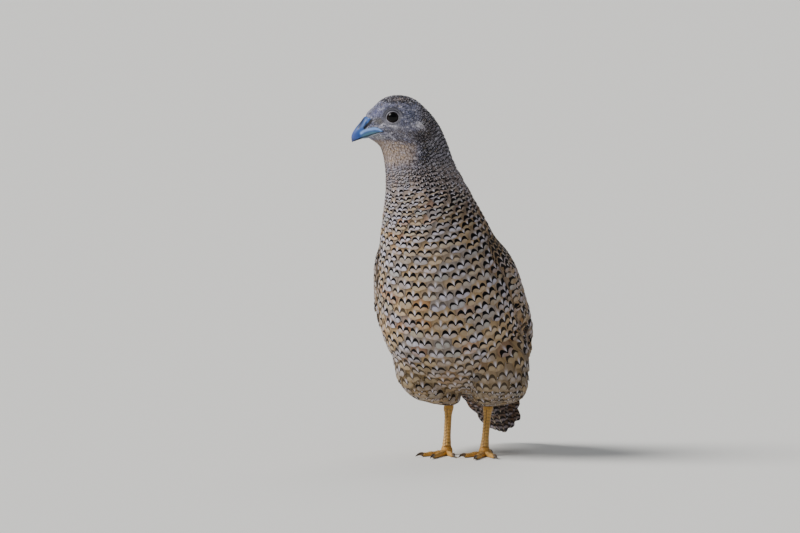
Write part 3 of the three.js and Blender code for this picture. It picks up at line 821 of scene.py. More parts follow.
def throat_tone(at, jitter):
    shaded = 0.12 + 0.55 * ease(at.ahead, -2, -9)
    return layered(
        mixed(THROAT_BUFF, BUFF, 0.35 * (jitter[:, 2] > 0.3)),
        (DARK_BROWN, shaded * ease(jitter[:, 0], 0.45, 0.9)),
        (PALE, 0.22 * ease(-jitter[:, 0], 0.6, 0.9)))


# %% Pearls, bars and the pattern they make
def pearls(at, rusty, jitter):
    """The colour of the pearls, and how strong they are."""
    tone = layered(
        mixed(LAVENDER, PALE, np.clip(0.25 + 0.35 * jitter[:, 2], 0, 1)),
        (BEIGE, 0.85 * ease(jitter[:, 0], 0.0, 0.6)),
        (MOSS, 0.70 * ease(-jitter[:, 1], 0.35, 0.8)),
        (CREAM, 0.35 * at.low + 0.25 * at.back),
        # painted light: the low nape's pearls made pale
        (PALE, 0.9 * at.nape_low))
    strength = (0.95 - 0.25 * rusty) * (1 - 0.50 * at.back) * (1 - 0.50 * at.low)
    strength = strength * (1 - 0.20 * at.flank * (1 - at.upper)) * (1 - 0.6 * at.vent)
    return tone, strength * (1 - 0.55 * at.face * (1 - at.nape)) * (1 - 0.85 * at.throat)


def bars(at, light, jitter):
    """The colour of the bars, and how strong they are."""
    tone = layered(
        mixed(BLACK, DARK_BROWN, 0.25 * at.low),
        (mixed(EAR_BLUE, BLACK, 0.62), 0.8 * at.face * (1 - at.crown) * (1 - at.behind)))
    strength = (1 - 0.30 * ease(jitter[:, 0], 0.8, 1.0)) * (1 - 0.80 * at.throat)
    strength = strength * (1 - 0.20 * at.low * (1 - at.flank) * (jitter[:, 2] > -0.2))
    strength = strength * (1 - 0.35 * at.parting) * (1 - 0.25 * at.nape_low)
    strength = strength * (1 - at.face * (0.42 - 0.38 * np.maximum(at.crown, at.behind)))
    return tone, strength * (1 - 0.8 * light * at.face) * (1 - 0.30 * at.vent)


def bar_pattern(at, jitter):
    """Where the bar's point is, how far apart bars are, how high they arch, and how thick."""
    vertex = 0.900 + 0.016 * jitter[:, 1] - 0.015 * at.scattered_up + 0.015 * at.back
    spacing = (0.50 - 0.26 * at.back) * (1 - 0.25 * at.upper)
    arch = (0.135 + 0.022 * jitter[:, 2]) * (1 - 0.65 * at.back) * (1 - 0.35 * at.scattered_up)
    thick = 0.049 * (1 + 0.22 * jitter[:, 3]) + 0.026 * at.flank * (1 - at.nape * at.upper)
    thick = thick + 0.018 * at.scattered_up * (1 - 0.8 * at.nape_low) + 0.012 * at.breast_top
    return np.column_stack([vertex, spacing, arch, thick * (1 - 0.38 * at.back)])


# %% All markings for any place
def markings(points, t, angle, rng):
    """What each feather at these places looks like, as the shader's five sets of numbers."""
    jitter = rng.uniform(-1, 1, (len(points), 4))
    at = regions_at(points, t, angle)
    rusty = ease(0.5 * soft_noise(points, 8.0, 3) + 0.25 * (1 + jitter[:, 0]), 0.30, 0.72)
    on_face, light = head_tone(at, jitter)
    tone = layered(body_tone(at, rusty, jitter), (on_face, at.face),
                   (throat_tone(at, jitter), 0.92 * at.throat))
    # painted light: the low nape's tone made up to 45 per cent lighter
    tone = tone * (1 + 0.12 * jitter[:, 3:4]) * (1 + 0.45 * at.nape_low)[:, None]
    brown = np.maximum(np.maximum(at.back, at.vent), 0.40 * at.face + 0.30 * at.throat)
    pearl_tone, pearl = pearls(at, rusty, jitter)
    bar_tone, bar = bars(at, light, jitter)
    shaft = (0.075 + 0.03 * at.back) * (1 - 0.5 * at.low) * (1 - 0.5 * at.face)
    return {"ground": np.column_stack([tone, 0.20 + 0.80 * brown]),
            "pearl": np.column_stack([pearl_tone, np.clip(pearl, 0, 1)]),
            "bar": np.column_stack([bar_tone, np.clip(bar, 0, 1)]),
            "shaft": np.column_stack([mixed(PALE, CREAM, at.back), shaft]),
            "pattern": bar_pattern(at, jitter)}


# %% [markdown]
# ## Bare places
# No feather grows on the bill, in the nostril's slit or along the mouth. Seen from the side
# that bare place is a many-sided figure, with a tongue of feathers that runs into it between
# the nostril and the pale rim of the mouth. One function tells how deep inside it a place is.

# %% The bare figure of the bill
# ahead of and above the eye, from the forehead round the tongue of feathers to the chin
BARE_FIGURE = np.array([
    (12.5, 0.3), (11.3, -0.3), (9.4, -0.8), (8.7, -1.5), (9.5, -3.3), (11.8, -5.35),
    (10.7, -5.0), (8.8, -4.5), (6.9, -4.7), (5.1, -5.8), (3.9, -6.6), (6.0, -7.7),
    (8.5, -8.75), (10.5, -9.6), (12.4, -10.4), (21.0, -13.6), (21.0, 2.0), (12.6, 2.0)])


def line_gap(ahead, above, corners):
    """The distance from each place to a line through these corners."""
    best = np.full(np.shape(ahead), 1e9)
    for (x0, y0), (x1, y1) in zip(corners[:-1], corners[1:]):
        dx, dy = x1 - x0, y1 - y0
        share = np.clip(((ahead - x0) * dx + (above - y0) * dy) / (dx * dx + dy * dy), 0, 1)
        best = np.minimum(best, np.hypot(ahead - x0 - share * dx, above - y0 - share * dy))
    return best


def bareness(ahead, above):
    """Millimetres inside the bare figure, or below zero outside it."""
    closed = np.vstack([BARE_FIGURE, BARE_FIGURE[:1]])
    inside = np.zeros(np.shape(ahead), bool)
    for (x0, y0), (x1, y1) in zip(closed[:-1], closed[1:]):
        crosses = (y0 > above) != (y1 > above)
        at = x0 + (above - y0) / np.where(y1 == y0, 1e-9, y1 - y0) * (x1 - x0)
        inside ^= crosses & (ahead < at)
    return np.where(inside, 1, -1) * line_gap(ahead, above, closed)


# %% [markdown]
# ## The skin's own colours
# The skin shows only as shade between the feathers, yet it carries their colours, a quarter
# darker as painted shade, so that no gap looks like a hole. In the bare figure it is painted
# nearly black, as shade in the gaps round the bill.

# %% Colour the skin
MOUTH_SHADE = paint(22, 22, 30)


def colour_layer(data, name, values):
    """Keep a colour and a number for every point of a mesh."""
    layer = data.attributes.new(name, "FLOAT_COLOR", "POINT")
    layer.data.foreach_set("color", np.asarray(values, np.float32).ravel())


def draw_skin(finish):
    colour, _none = finish.attribute("coat")
    here = finish.place()
    pores = finish.noise(here, 1300.0, 3.0, 0.6)
    patches = finish.noise(here, 300.0, 2.0)
    shade = pores.fade(0.3, 0.7) * 0.30 + patches * 0.25 + 0.68
    finish.feed("Base Color", finish.toned(colour, shade))
    finish.bump(pores, 0.00012, 0.7)


skin_finish = Finish("skin", Roughness=0.75)
draw_skin(skin_finish)
skin_marks = markings(ground.points, skin_t, skin_angle, np.random.default_rng(5))
# painted shade: the skin takes the feathers' colours a quarter darker
skin_tone = mixed(skin_marks["ground"][:, :3], skin_marks["bar"][:, :3],
                  0.45 * skin_marks["bar"][:, 3]) * 0.75
bare = bareness(*from_eyes(ground.points)[:2]) * (skin_t > NECK_END)
# painted shade: the bare figure nearly black, where the skin shows in the gaps round the bill
skin_tone = mixed(skin_tone, MOUTH_SHADE, ease(bare, -0.3, 0.3))
colour_layer(skin_mesh, "coat", np.column_stack([skin_tone, np.ones(len(skin_tone))]))
skin_mesh.materials.append(skin_finish.material)
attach(skin, "root")
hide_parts("torso", "neck", "head", "thigh_left", "thigh_right")
print(int((bare > 0).sum()), "points of the skin are bare")

# %% [markdown]
# ## One feather, many times
# A feather is a thin curved blade with a round tip. Its grid of points is laid on the skin
# and lifted more and more toward the tip, so that each row covers the roots of the next like
# tiles. All feathers of a tract are made at once, with array sums in place of a loop, and
# each is a closed blade: an upper side and an under side that share their edge.

# %% The grid of a feather
def blade_grid(rows, cols, roundness):
    """How far along and across each point of the grid is, with a round tip."""
    v = 1 - (1 - np.linspace(0, 1, rows)) ** 1.35
    u = np.sin(np.linspace(-1, 1, cols) * math.pi / 2 * 0.96) / math.sin(math.pi / 2 * 0.96)
    v, u = np.meshgrid(v, u, indexing="ij")
    round_tip = roundness * ease(v, 0.25, 1.0) * np.abs(u) ** 2.2
    width = (0.42 + 0.58 * ease(v, 0.0, 0.45)) * (1 - 0.10 * ease(v, 0.75, 1.0))
    return v - round_tip * v, u, width


# %% Follow the lie over the skin
def trail(roots, directions, lengths, steps=8):
    """Follow the lie over the skin from each root, and give the line of each shaft."""
    place, normal, unwrapped = ground.touch(roots)
    line, outs = [place], [normal]
    heading = directions
    for _ in range(steps):
        place, normal, _u = ground.touch(place + heading * (lengths / steps)[:, None])
        heading = unit(heading - normal * (heading * normal).sum(-1, keepdims=True))
        line.append(place)
        outs.append(normal)
    return np.stack(line, 1), np.stack(outs, 1), unwrapped


def along_lines(lines, shares):
    """Points at these shares of each line's length, for lines of equal steps."""
    last = lines.shape[1] - 1
    k = np.clip((shares * last).astype(int), 0, last - 1)
    s = (shares * last - k)[..., None]
    return lines[:, k] * (1 - s) + lines[:, k + 1] * s


def on_skin(lines, outs, half_widths):
    """A way to place points on feathers whose shafts are these lines over the skin."""
    count = len(lines)
    heads_length = np.linalg.norm(np.diff(lines, axis=1), axis=-1).sum(1)

    def place(shares, far, across):
        shape = (count, *far.shape, 3)
        flat, gap = far.ravel(), 0.06
        base = along_lines(lines, flat).reshape(shape)
        out = unit(along_lines(outs, flat).reshape(shape))
        head = unit(along_lines(lines, np.clip(flat + gap, 0, 1))
                    - along_lines(lines, np.clip(flat - gap, 0, 1))).reshape(shape)
        base = base + head * ((shares - far) * heads_length[:, None, None])[..., None]
        sideways = unit(np.cross(out, head))
        points = base + sideways * (half_widths[:, None, None] * across)[..., None]
        return ground.touch(points)[:2]
    return place


# %% Two sides of a blade
def blade_faces(rows, cols):
    """The faces of one closed blade, whose sides share their edge, and its number of points."""
    upper = np.arange(rows * cols).reshape(rows, cols)
    lower = upper.copy()
    inner = (rows - 2) * (cols - 2)
    lower[1:-1, 1:-1] = rows * cols + np.arange(inner).reshape(rows - 2, cols - 2)
    quads = []
    for grid, turned in ((upper, False), (lower, True)):
        a, b, c, d = grid[:-1, :-1], grid[1:, :-1], grid[1:, 1:], grid[:-1, 1:]
        order = (a, d, c, b) if turned else (a, b, c, d)
        quads.append(np.stack(order, -1).reshape(-1, 4))
    return np.vstack(quads), rows * cols + inner


def both_sides(upper, lower):
    """Each blade's values on its upper side, then those within the edge of its under side."""
    count, width = len(upper), upper.shape[-1]
    return np.concatenate([upper.reshape(count, -1, width),
                           lower[:, 1:-1, 1:-1].reshape(count, -1, width)], 1)


def raised(points, out, far, u, lifts, rng, thick, camber, tilt, swell):
    """The upper and the under side of blades that rise from the skin toward their tips."""
    count = len(points)
    low, high = (np.broadcast_to(lift, count)[:, None, None] for lift in lifts)
    drift = rng.uniform(-1, 1, count)[:, None, None]
    tilts = rng.normal(0, tilt, count)[:, None, None]
    lift = low + (high * (1 + 0.05 * drift) - low) * far ** swell
    lift = lift + tilts * u * far - camber * (u ** 2) * (0.4 + 0.6 * far)
    top = points + out * lift[..., None]
    edge = (1 - np.abs(u) ** 4) * np.sin(math.pi * np.clip(0.15 + 0.85 * far, 0, 0.97)) ** 0.5
    return top, top - out * (thick * np.maximum(edge, 0.12))[..., None]


# %% Lay a tract of feathers
PATCH = 0.003


def lay_feathers(name, place, unwrapped, lifts, marks, rows=9, cols=9, roundness=0.13,
                 thick=0.11, camber=0.10, seed=1, ragged=0.02, tilt=0.06, swell=0.6):
    """One object with all feathers of a tract. lifts is (root, tip) in millimetres."""
    rng = np.random.default_rng(seed)
    count = len(unwrapped)
    far, u, width = blade_grid(rows, cols, roundness)
    wobble = rng.normal(0, ragged, (count, rows, cols)) * ease(far, 0.6, 1.0)
    shares = np.clip(far + wobble, 0, 1)
    points, out = place(shares, far, width * u)
    sides = raised(points, out, far, u, lifts, rng, thick, camber, tilt, swell)
    quads, each = blade_faces(rows, cols)
    faces = (quads[None] + (np.arange(count) * each)[:, None, None]).reshape(-1, 4)
    made = blade_mesh(name, both_sides(*sides).reshape(-1, 3), faces)
    local = np.stack([0.5 + 0.5 * np.broadcast_to(u, shares.shape), shares], -1)
    local = both_sides(local, local)
    bake = unwrapped[:, None] + (local - 0.5) * PATCH
    write_unwrap(made.data, "OFBake", bake.reshape(-1, 2), faces)
    write_unwrap(made.data, "Blade", local.reshape(-1, 2), faces)
    for key, values in marks.items():
        colour_layer(made.data, key, np.repeat(values, each, 0))
    made.data.materials.append(plumage.material)
    print(name, count, "feathers,", len(faces) * 2, "triangles")
    return made


def blade_mesh(name, points, faces):
    data = bpy.data.meshes.new(name)
    data.vertices.add(len(points))
    data.vertices.foreach_set("co", ((points + SHIFT) * MM).astype(np.float32).ravel())
    data.loops.add(faces.size)
    data.loops.foreach_set("vertex_index", faces.astype(np.int32).ravel())
    data.polygons.add(len(faces))
    data.polygons.foreach_set("loop_start", np.arange(len(faces), dtype=np.int32) * 4)
    data.update(calc_edges=True)
    data.shade_smooth()
    data.set_sharp_from_angle(angle=math.radians(70))
    return placed(name, data)


def write_unwrap(data, name, places, faces):
    layer = data.uv_layers.new(name=name)
    layer.data.foreach_set("uv", places[faces.ravel()].astype(np.float32).ravel())


# %% [markdown]
# ## The plumage finish
# The shader reads the feather's own coordinates and its numbers, and draws the bar, the
# pearls under its arms, the shaft and the fine barbs, with painted shade toward each feather's
# side edges. Being a sum and not a picture, it stays sharp at any size.

# %% Plumage
BARB_COUNT = 46.0
ARM_REACH = 0.84
plumage = Finish("plumage", Roughness=0.85, Sheen_Weight=0.03, Sheen_Roughness=0.45)
plumage.shader.inputs["Specular IOR Level"].default_value = 0.10


def draw_plumage(finish):
    blade = finish.node("UVMap", uv_map="Blade")
    across, far, _none = finish.parts(Wire(finish.tree, blade.outputs[0]))
    here = finish.place()
    warp = finish.noise(here, 420.0, 2.0) - 0.5
    off = (across - 0.5).math("ABSOLUTE") * 2.0 + warp * 0.10
    ground_colour, brown = finish.attribute("ground")
    pearl_colour, pearl = finish.attribute("pearl")
    bar_colour, bar = finish.attribute("bar")
    shaft_colour, shaft = finish.attribute("shaft")
    pattern, thick = finish.attribute("pattern")
    vertex, spacing, arch = finish.parts(pattern)
    arms = ((off / ARM_REACH).clip() * math.pi).math("SINE").math("POWER", 0.75)
    fine = finish.noise(here, 900.0, 2.0) - 0.5
    line = vertex - arch * arms + fine * 0.022 + warp * 0.05
    steps = (far - line) / spacing
    gap = ((steps - steps.math("ROUND")) * spacing).math("ABSOLUTE")
    body = thick * (arms * 0.72 + 0.40)
    inked = gap.fade(body * 1.20, body * 0.75) * bar
    past = far - line
    under = past.fade(0.0, 0.03) * past.fade(0.30, 0.10)
    middle = (off - 0.42).math("ABSOLUTE").fade(0.46, 0.14)
    uneven = finish.noise(here, 210.0, 1.0).fade(0.36, 0.58) * 0.7 + 0.3
    tone = finish.blend(under * middle * uneven * pearl, ground_colour, pearl_colour)
    soft = 1.0 - brown
    inside = past.fade(0.0, -0.02) * past.fade(-0.24, -0.10)
    rib = off.fade(shaft, shaft * 0.35) * (brown + inside * soft)
    notch = off.fade(0.22, 0.04) * inside * soft
    tone = finish.blend(rib.math("MAXIMUM", notch * 0.66) * 0.90, tone, shaft_colour)
    crumbs = finish.noise(here, 1500.0, 3.0, 0.65)
    mottle = crumbs.fade(0.5, 0.66) * brown * 0.5
    tone = finish.blend(mottle, tone, bar_colour)
    tone = finish.blend(inked, tone, bar_colour)
    barbs = ((far * BARB_COUNT - off * 14.0) * 2 * math.pi).math("SINE")
    # painted shade: each feather darker toward its side edges, so that it looks rounded
    shade = barbs * 0.06 + 0.94 + warp * 0.30 - off.fade(0.66, 0.98) * soft * 0.34
    finish.feed("Base Color", finish.toned(tone, shade))
    finish.bump(barbs * 0.3 + rib * 0.5 + warp, 0.00010, 0.5)


draw_plumage(plumage)

# %% [markdown]
# ## Rows over body and neck
# Body feathers stand in rows, and each row sits over the gaps of the one before. On the belly
# the feathers are nearly eight millimetres wide and the rows almost five apart. Both shrink
# toward the neck, where they thin out under the scattered small feathers of the head.

# %% Rows of body feathers
# place along the body, width of a feather, distance of the rows
FEATHER_SIZES = np.array([[1.0, 5.5, 3.0], [3.0, 6.4, 3.8], [5.0, 7.2, 4.7], [7.0, 7.6, 5.0],
                          [8.3, 7.6, 4.8], [9.3, 7.3, 4.0], [10.0, 6.9, 3.2], [10.7, 6.5, 2.7],
                          [11.5, 5.4, 2.2], [12.4, 4.4, 1.8], [13.2, 3.6, 1.5]])
THIGH_BULGE = 7.5
BELLY_ANGLE = math.radians(-80)
WING_FRONT, WING_TIP = 8.95, 2.75


def pitch_at(t):
    """How far apart the feathers of a row stand, at t."""
    return np.interp(t, FEATHER_SIZES[:, 0], FEATHER_SIZES[:, 1])


def row_distance(t):
    return np.interp(t, FEATHER_SIZES[:, 0], FEATHER_SIZES[:, 2])


def wing_share(t, angle):
    """How far along the wing and, in degrees from the side to the back, how high."""
    rise = np.degrees(angle)
    rise = np.where(rise > 90, 180 - rise, rise)
    rise = np.where(rise < -90, -180 - rise, rise)
    return (WING_FRONT - t) / (WING_FRONT - WING_TIP), rise


def wing_low(v):
    """The lower edge of a folded wing, in degrees, so far along it."""
    return -8 + 24 * v * v


def wing_high(v):
    return 63 - 8 * v * v


# %% Walk round the skin, row by row
def skin_ring(t):
    """The skin's outline at t, closed, and the angle round the body of each of its points."""
    middle, left, back, halves = ring_frame(t)
    ring, kept = [], []
    for angle in np.radians(np.arange(-90, 270, 3)):
        deep = halves[2] if math.sin(angle) > 0 else halves[1]
        way = left * halves[0] * math.cos(angle) + back * deep * math.sin(angle)
        reach = np.linalg.norm(way)
        hit = ground.beam(middle, way / reach)
        if hit is not None and np.linalg.norm(hit - middle) < reach + THIGH_BULGE:
            ring.append(hit)
            kept.append(angle)
    return np.array([*ring, ring[0]]), [*kept, kept[0] + 2 * math.pi]


def body_rows(start, end):
    """Roots of the feathers from one t to another, with t, angle and size of each."""
    rng = np.random.default_rng(11)
    found = []
    t, row = start, 0
    while t < end:
        ring, kept = skin_ring(t)
        walked = np.concatenate([[0], np.cumsum(np.linalg.norm(np.diff(ring, axis=0), axis=1))])
        number = max(6, round(walked[-1] / pitch_at(t)))
        step = walked[-1] / number
        loose = 0.05 + 0.11 * float(ease(t, 9.8, 12.0))
        spots = (np.arange(number) + 0.5 * (row % 2) + rng.normal(0, loose, number)) * step
        spots = spots % walked[-1]
        place = np.stack([np.interp(spots, walked, ring[:, k]) for k in range(3)], -1)
        angle = np.interp(spots, walked, kept)
        for p, a in zip(place, angle):
            found.append([*p, t, (a + math.pi) % (2 * math.pi) - math.pi, step])
        ahead, behind = (body_point(t + off, BELLY_ANGLE) for off in (0.05, -0.05))
        per_section = np.linalg.norm(ahead - behind) * 10
        t += row_distance(t) / per_section * rng.uniform(0.96, 1.04)
        row += 1
    return np.array(found)


NECK_ROWS_END = 12.4
NECK_THINS_FROM = 11.2
roots = body_rows(2.1, NECK_ROWS_END)
v, rise = wing_share(roots[:, 3], roots[:, 4])
under_wing = (v > 0.10) & (v < 0.93) & (rise > wing_low(v) + 3) & (rise < wing_high(v) - 4)
roots = roots[~under_wing]
print(len(roots), "body feathers outside the wings")

# %% Lay the body feathers, a region at a time
ROWS_LONG = 3.0
ROOT_BEFORE, SHOWN_STEP, HALF_WIDTH = 0.75, 6, 0.60


def lay_region(name, chosen, seed):
    rng = np.random.default_rng(seed)
    places, t, size = chosen[:, :3], chosen[:, 3], chosen[:, 5]
    normal = ground.touch(places)[1]
    way = lie(places, normal, t)
    sway = rng.normal(0, 0.07, len(t))[:, None]
    way = unit(way + np.cross(normal, way) * sway)
    length = row_distance(t) * ROWS_LONG * rng.uniform(0.96, 1.05, len(t))
    before = way * (length * ROOT_BEFORE)[:, None]
    lines, outs, unwrapped = trail(places - before, way, length)
    shown = lines[:, SHOWN_STEP]
    t_shown, angle_shown = spine_place(shown)
    marks = markings(shown, t_shown, angle_shown, rng)
    depth = coat_depth(shown, t_shown) * (1 - 0.8 * ease(t, NECK_THINS_FROM, NECK_ROWS_END))
    made = lay_feathers(name, on_skin(lines, outs, size * HALF_WIDTH), unwrapped,
                        (-0.25, depth), marks, 11, 10, seed=seed)
    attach(made, "root")


t_root = roots[:, 3]
regions = [("vent_feathers", 0.0, 5.0), ("belly_feathers", 5.0, 7.6),
           ("breast_feathers", 7.6, 10.2), ("neck_feathers", 10.2, NECK_ROWS_END)]
for number, (name, start, end) in enumerate(regions):
    lay_region(name, roots[(t_root >= start) & (t_root < end)], 20 + number)

# %% [markdown]
# ## Folded wings
# A folded wing is a fan that has been shut: the long primaries lie lowest, the secondaries
# over them, and the coverts lie over those in tiers, each tier shorter than the last. The
# scapulars from the shoulder lie on top. Each feather is given by its root and its tip, as
# a share of the wing's length and degrees up from the bird's side.

# %% Points on a wing
def wing_core_top(v, rise):
    """How high the wing's own body stands under its feathers."""
    middle, reach = (wing_low(v) + wing_high(v)) / 2, (wing_high(v) - wing_low(v)) / 2
    u = np.clip((rise - middle) / reach, -1, 1)
    length = np.sin(math.pi * np.clip(0.12 + 0.88 * v, 0, 1)) ** 0.6
    return 1.3 + 1.1 * np.sqrt(1 - u * u) * length


def wing_surface(side, v, rise, height):
    """A point so high over the body under a wing, and the direction out of the body there."""
    t = WING_FRONT + (WING_TIP - WING_FRONT) * v
    angle = np.radians(rise) if side > 0 else math.pi - np.radians(rise)
    step = 0.03
    length = body_point(t + step, angle) - body_point(t - step, angle)
    girth = body_point(t, angle + step) - body_point(t, angle - step)
    out = unit(np.cross(girth, length))
    return body_point(t, angle) + out * height[..., None], out


def on_wing(side, feathers):
    """Feathers as rows of root v, root rise, tip v, tip rise, half width, droop, layer."""
    f = np.asarray(feathers, float)[:, :, None, None]

    def place(shares, far, across):
        bend = f[:, 5] * shares * (1 - shares) * 4
        v = f[:, 0] * (1 - shares) + f[:, 2] * shares
        middle = f[:, 1] * (1 - shares) + f[:, 3] * shares + bend
        t = WING_FRONT + (WING_TIP - WING_FRONT) * v
        halves = along(sections, t)[..., 5:8]
        girth = (halves[..., 0] + halves[..., 2]) / 2
        rise = middle + np.degrees(f[:, 4] * across / girth)
        low, high = wing_low(v), wing_high(v)
        edge = ease(rise, low - 4, low + 9) * ease(rise, high + 4, high - 9)
        edge = edge * ease(v, -0.07, 0.12)
        height = wing_core_top(np.minimum(v, 0.8), middle) - 1.15 + f[:, 6]
        return wing_surface(side, v, rise, 0.25 + height * edge)
    return place


# %% Tiers of a wing
def tier(count, root, tip, half, layer, droop=0.0, power=1.0):
    """Feathers side by side, from the first root and tip to the last."""
    rows = []
    for i in range(count):
        q = i / max(1, count - 1)
        values = [root[0] + (root[2] - root[0]) * q, root[1] + (root[3] - root[1]) * q,
                  tip[0] + (tip[2] - tip[0]) * q ** power, tip[1] + (tip[3] - tip[1]) * q]
        rows.append([*values, half[0] + (half[1] - half[0]) * q, droop, layer])
    return rows


COVERT_LENGTH = 0.14


def covert_rows(number, first, last, half, layer):
    """Rows of coverts like tiles, from the bend of the wing back."""
    rows = []
    for k in range(number):
        q = k / (number - 1)
        root = first + (last - first) * q
        tip = root + COVERT_LENGTH
        low, high = -4 + 2.6 * (k % 2), 56 - 2.6 * (k % 2)
        rows += tier(10 - k % 2, (root, low, root, high), (tip, low, tip, high),
                     (half, half), layer - 0.5 * q)
    return rows


wing_tiers = {
    "primaries": tier(9, (0.46, 3, 0.60, 28), (0.78, 15, 0.99, 34), (3.6, 3.4), 0.0, 2.0),
    "secondaries": tier(9, (0.34, 1, 0.46, 40), (0.66, 10, 0.84, 38), (5.2, 5.0), 0.3, 1.5),
    "tertials": tier(4, (0.40, 34, 0.44, 50), (0.80, 34, 0.90, 48), (5.8, 6.2), 0.65, 0.0),
    "greater_coverts": tier(9, (0.23, -3, 0.22, 50), (0.52, 2, 0.58, 52), (4.6, 4.9), 0.75),
    "median_coverts": covert_rows(4, 0.24, 0.36, 4.0, 1.15),
    "lesser_coverts": covert_rows(10, -0.09, 0.21, 3.7, 1.5),
    "scapulars": (tier(7, (0.22, 59, 0.56, 56), (0.44, 57, 0.82, 53), (4.9, 5.2), 0.95)
                  + tier(8, (0.06, 61, 0.40, 59), (0.24, 60, 0.62, 57), (4.7, 5.0), 1.1)
                  + tier(6, (-0.05, 60, 0.14, 62), (0.12, 60, 0.34, 61), (4.5, 4.8), 1.2)),
}


# %% Markings of wings and tail
def wing_marks(count, rng, long_feathers):
    """Brown wing feathers, barred and flecked, with a cream shaft."""
    jitter = rng.uniform(-1, 1, (count, 4))
    tone = mixed(BROWN, RUFOUS, 0.25 + 0.25 * jitter[:, 0])
    tone = mixed(tone, GREIGE, 0.35 + 0.20 * jitter[:, 1])
    if long_feathers:
        tone = mixed(tone, DARK_BROWN, 0.5)
    spacing = np.full(count, 0.13 if long_feathers else 0.17)
    return {"ground": np.column_stack([tone * (1 + 0.1 * jitter[:, 3:4]), np.full(count, 0.9)]),
            "pearl": np.column_stack([np.tile(LAVENDER, (count, 1)), 0.45 + 0.2 * jitter[:, 2]]),
            "bar": np.column_stack([np.tile(BLACK, (count, 1)), 0.90 + 0.1 * jitter[:, 1]]),
            "shaft": np.column_stack([np.tile(CREAM, (count, 1)), 0.07 + 0.02 * jitter[:, 3]]),
            "pattern": np.column_stack([0.86 + 0.04 * jitter[:, 0], spacing,
                                        0.045 + 0.02 * jitter[:, 1], np.full(count, 0.034)])}


BODY_SHARE = 0.85


def like_body(marks, points, rng):
    """Coverts near the front of the wing are marked much like the flank beside them."""
    t, angle = spine_place(points)
    body = markings(points, t, angle, rng)
    blended = {key: marks[key] * (1 - BODY_SHARE) + body[key] * BODY_SHARE for key in marks}
    blended["pattern"] = body["pattern"] * [0.97, 0.9, 0.95, 1.0]
    front_row = ease(wing_share(t, angle)[0], 0.03, -0.02)
    spacing = blended["pattern"][:, 1] * (1 - 0.55 * front_row)
    blended["pattern"][:, 1] = np.maximum(spacing, 0.20)
    return blended


def feather_places(place, count, share):
    """A place on each feather's shaft, and that place on the unwrapped skin."""
    shafts = place(np.full((count, 1, 1), share), np.zeros((1, 1)), np.zeros((1, 1)))
    spots = shafts[0][:, 0, 0]
    return spots, ground.touch(spots)[2]


# %% Lay both wings
for side, side_name in ((1, "left"), (-1, "right")):
    for order, (tier_name, feathers) in enumerate(wing_tiers.items()):
        rng = np.random.default_rng(60 + order)
        feathers = np.array(feathers)
        feathers[:, :4] += rng.normal(0, 1, (len(feathers), 4)) * [0.006, 0.5, 0.008, 0.6]
        place = on_wing(side, feathers)
        spots, unwrapped = feather_places(place, len(feathers), 0.4)
        marks = wing_marks(len(feathers), rng, tier_name in ("primaries", "secondaries"))
        if tier_name in ("median_coverts", "lesser_coverts"):
            marks = like_body(marks, spots, rng)
        made = lay_feathers(f"{tier_name}_{side_name}", place, unwrapped, (-0.5, 0.45),
                            marks, 12, 9, roundness=0.16, thick=0.26, camber=0.3,
                            seed=80 + order, ragged=0.008, swell=0.9)
        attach(made, "root")
        if tier_name == "secondaries":
            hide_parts(f"wing_{side_name}")

# %% [markdown]
# ## The tail
# A quail's tail is short and soft, ten feathers in a low roof, and almost hidden by the
# coverts above and below it. Its feathers are placed in a frame that points down the tail.

# %% Points on the tail
TAIL_START = 3.0
tail_root = along(sections, TAIL_START)[:3]
tail_down = unit(sections[0, :3] - tail_root)
tail_across = unit(np.array([1.0, 0, 0]) - tail_down * tail_down[0])
tail_above = -unit(np.cross(tail_across, tail_down))


def on_tail(feathers):
    """Feathers as rows of root and tip, each along, across and above, half width and slope."""
    f = np.asarray(feathers, float)[:, :, None, None]

    def place(shares, far, across):
        middle = [f[:, k] * (1 - shares) + f[:, k + 3] * shares for k in range(3)]
        wide = f[:, 6] * across
        above = middle[2] + f[:, 7] * wide - 0.035 * wide ** 2
        points = (tail_root + middle[0][..., None] * tail_down
                  + (middle[1] + wide)[..., None] * tail_across + above[..., None] * tail_above)
        out = tail_above - tail_across * (f[:, 7] - 0.07 * wide)[..., None]
        return points, unit(out)
    return place


# %% Tiers of the tail
def tail_tier(count, root, tip, half, slope):
    """Feathers on both sides, from the middle pair out to the outer pair."""
    rows = []
    for side in (-1, 1):
        for i in range(count):
            q = i / max(1, count - 1)
            values = np.array(root[0] + tip[0]) * (1 - q) + np.array(root[1] + tip[1]) * q
            values[[1, 4]] *= side
            rows.append([*values, half, slope * side])
    return rows


tail_tiers = {
    "tail_feathers": tail_tier(5, ((7, 0.9, 1.5), (7, 5.4, -0.4)),
                               ((31.5, 1.3, 0.9), (27, 8.2, -1.0)), 3.1, -0.12),
    "upper_tail_coverts": (tail_tier(5, ((1.0, 1.4, 4.9), (1.0, 9.8, 1.2)),
                                     ((25, 1.7, 2.3), (18, 9.6, 0.5)), 3.4, -0.15)
                           + tail_tier(5, ((-5, 1.0, 6.6), (-5, 10.8, 2.2)),
                                       ((17, 1.3, 4.6), (11, 10.6, 1.7)), 3.6, -0.2)),
    "under_tail_coverts": (tail_tier(5, ((1.5, 1.5, -4.4), (1.5, 8.8, -1.8)),
                                     ((23, 1.7, -1.6), (17, 8.8, -0.9)), 3.4, 0.12)
                           + tail_tier(5, ((-5, 1.1, -6.4), (-5, 9.8, -3.0)),
                                       ((16, 1.3, -4.2), (10, 9.8, -2.2)), 3.6, 0.16)),
}
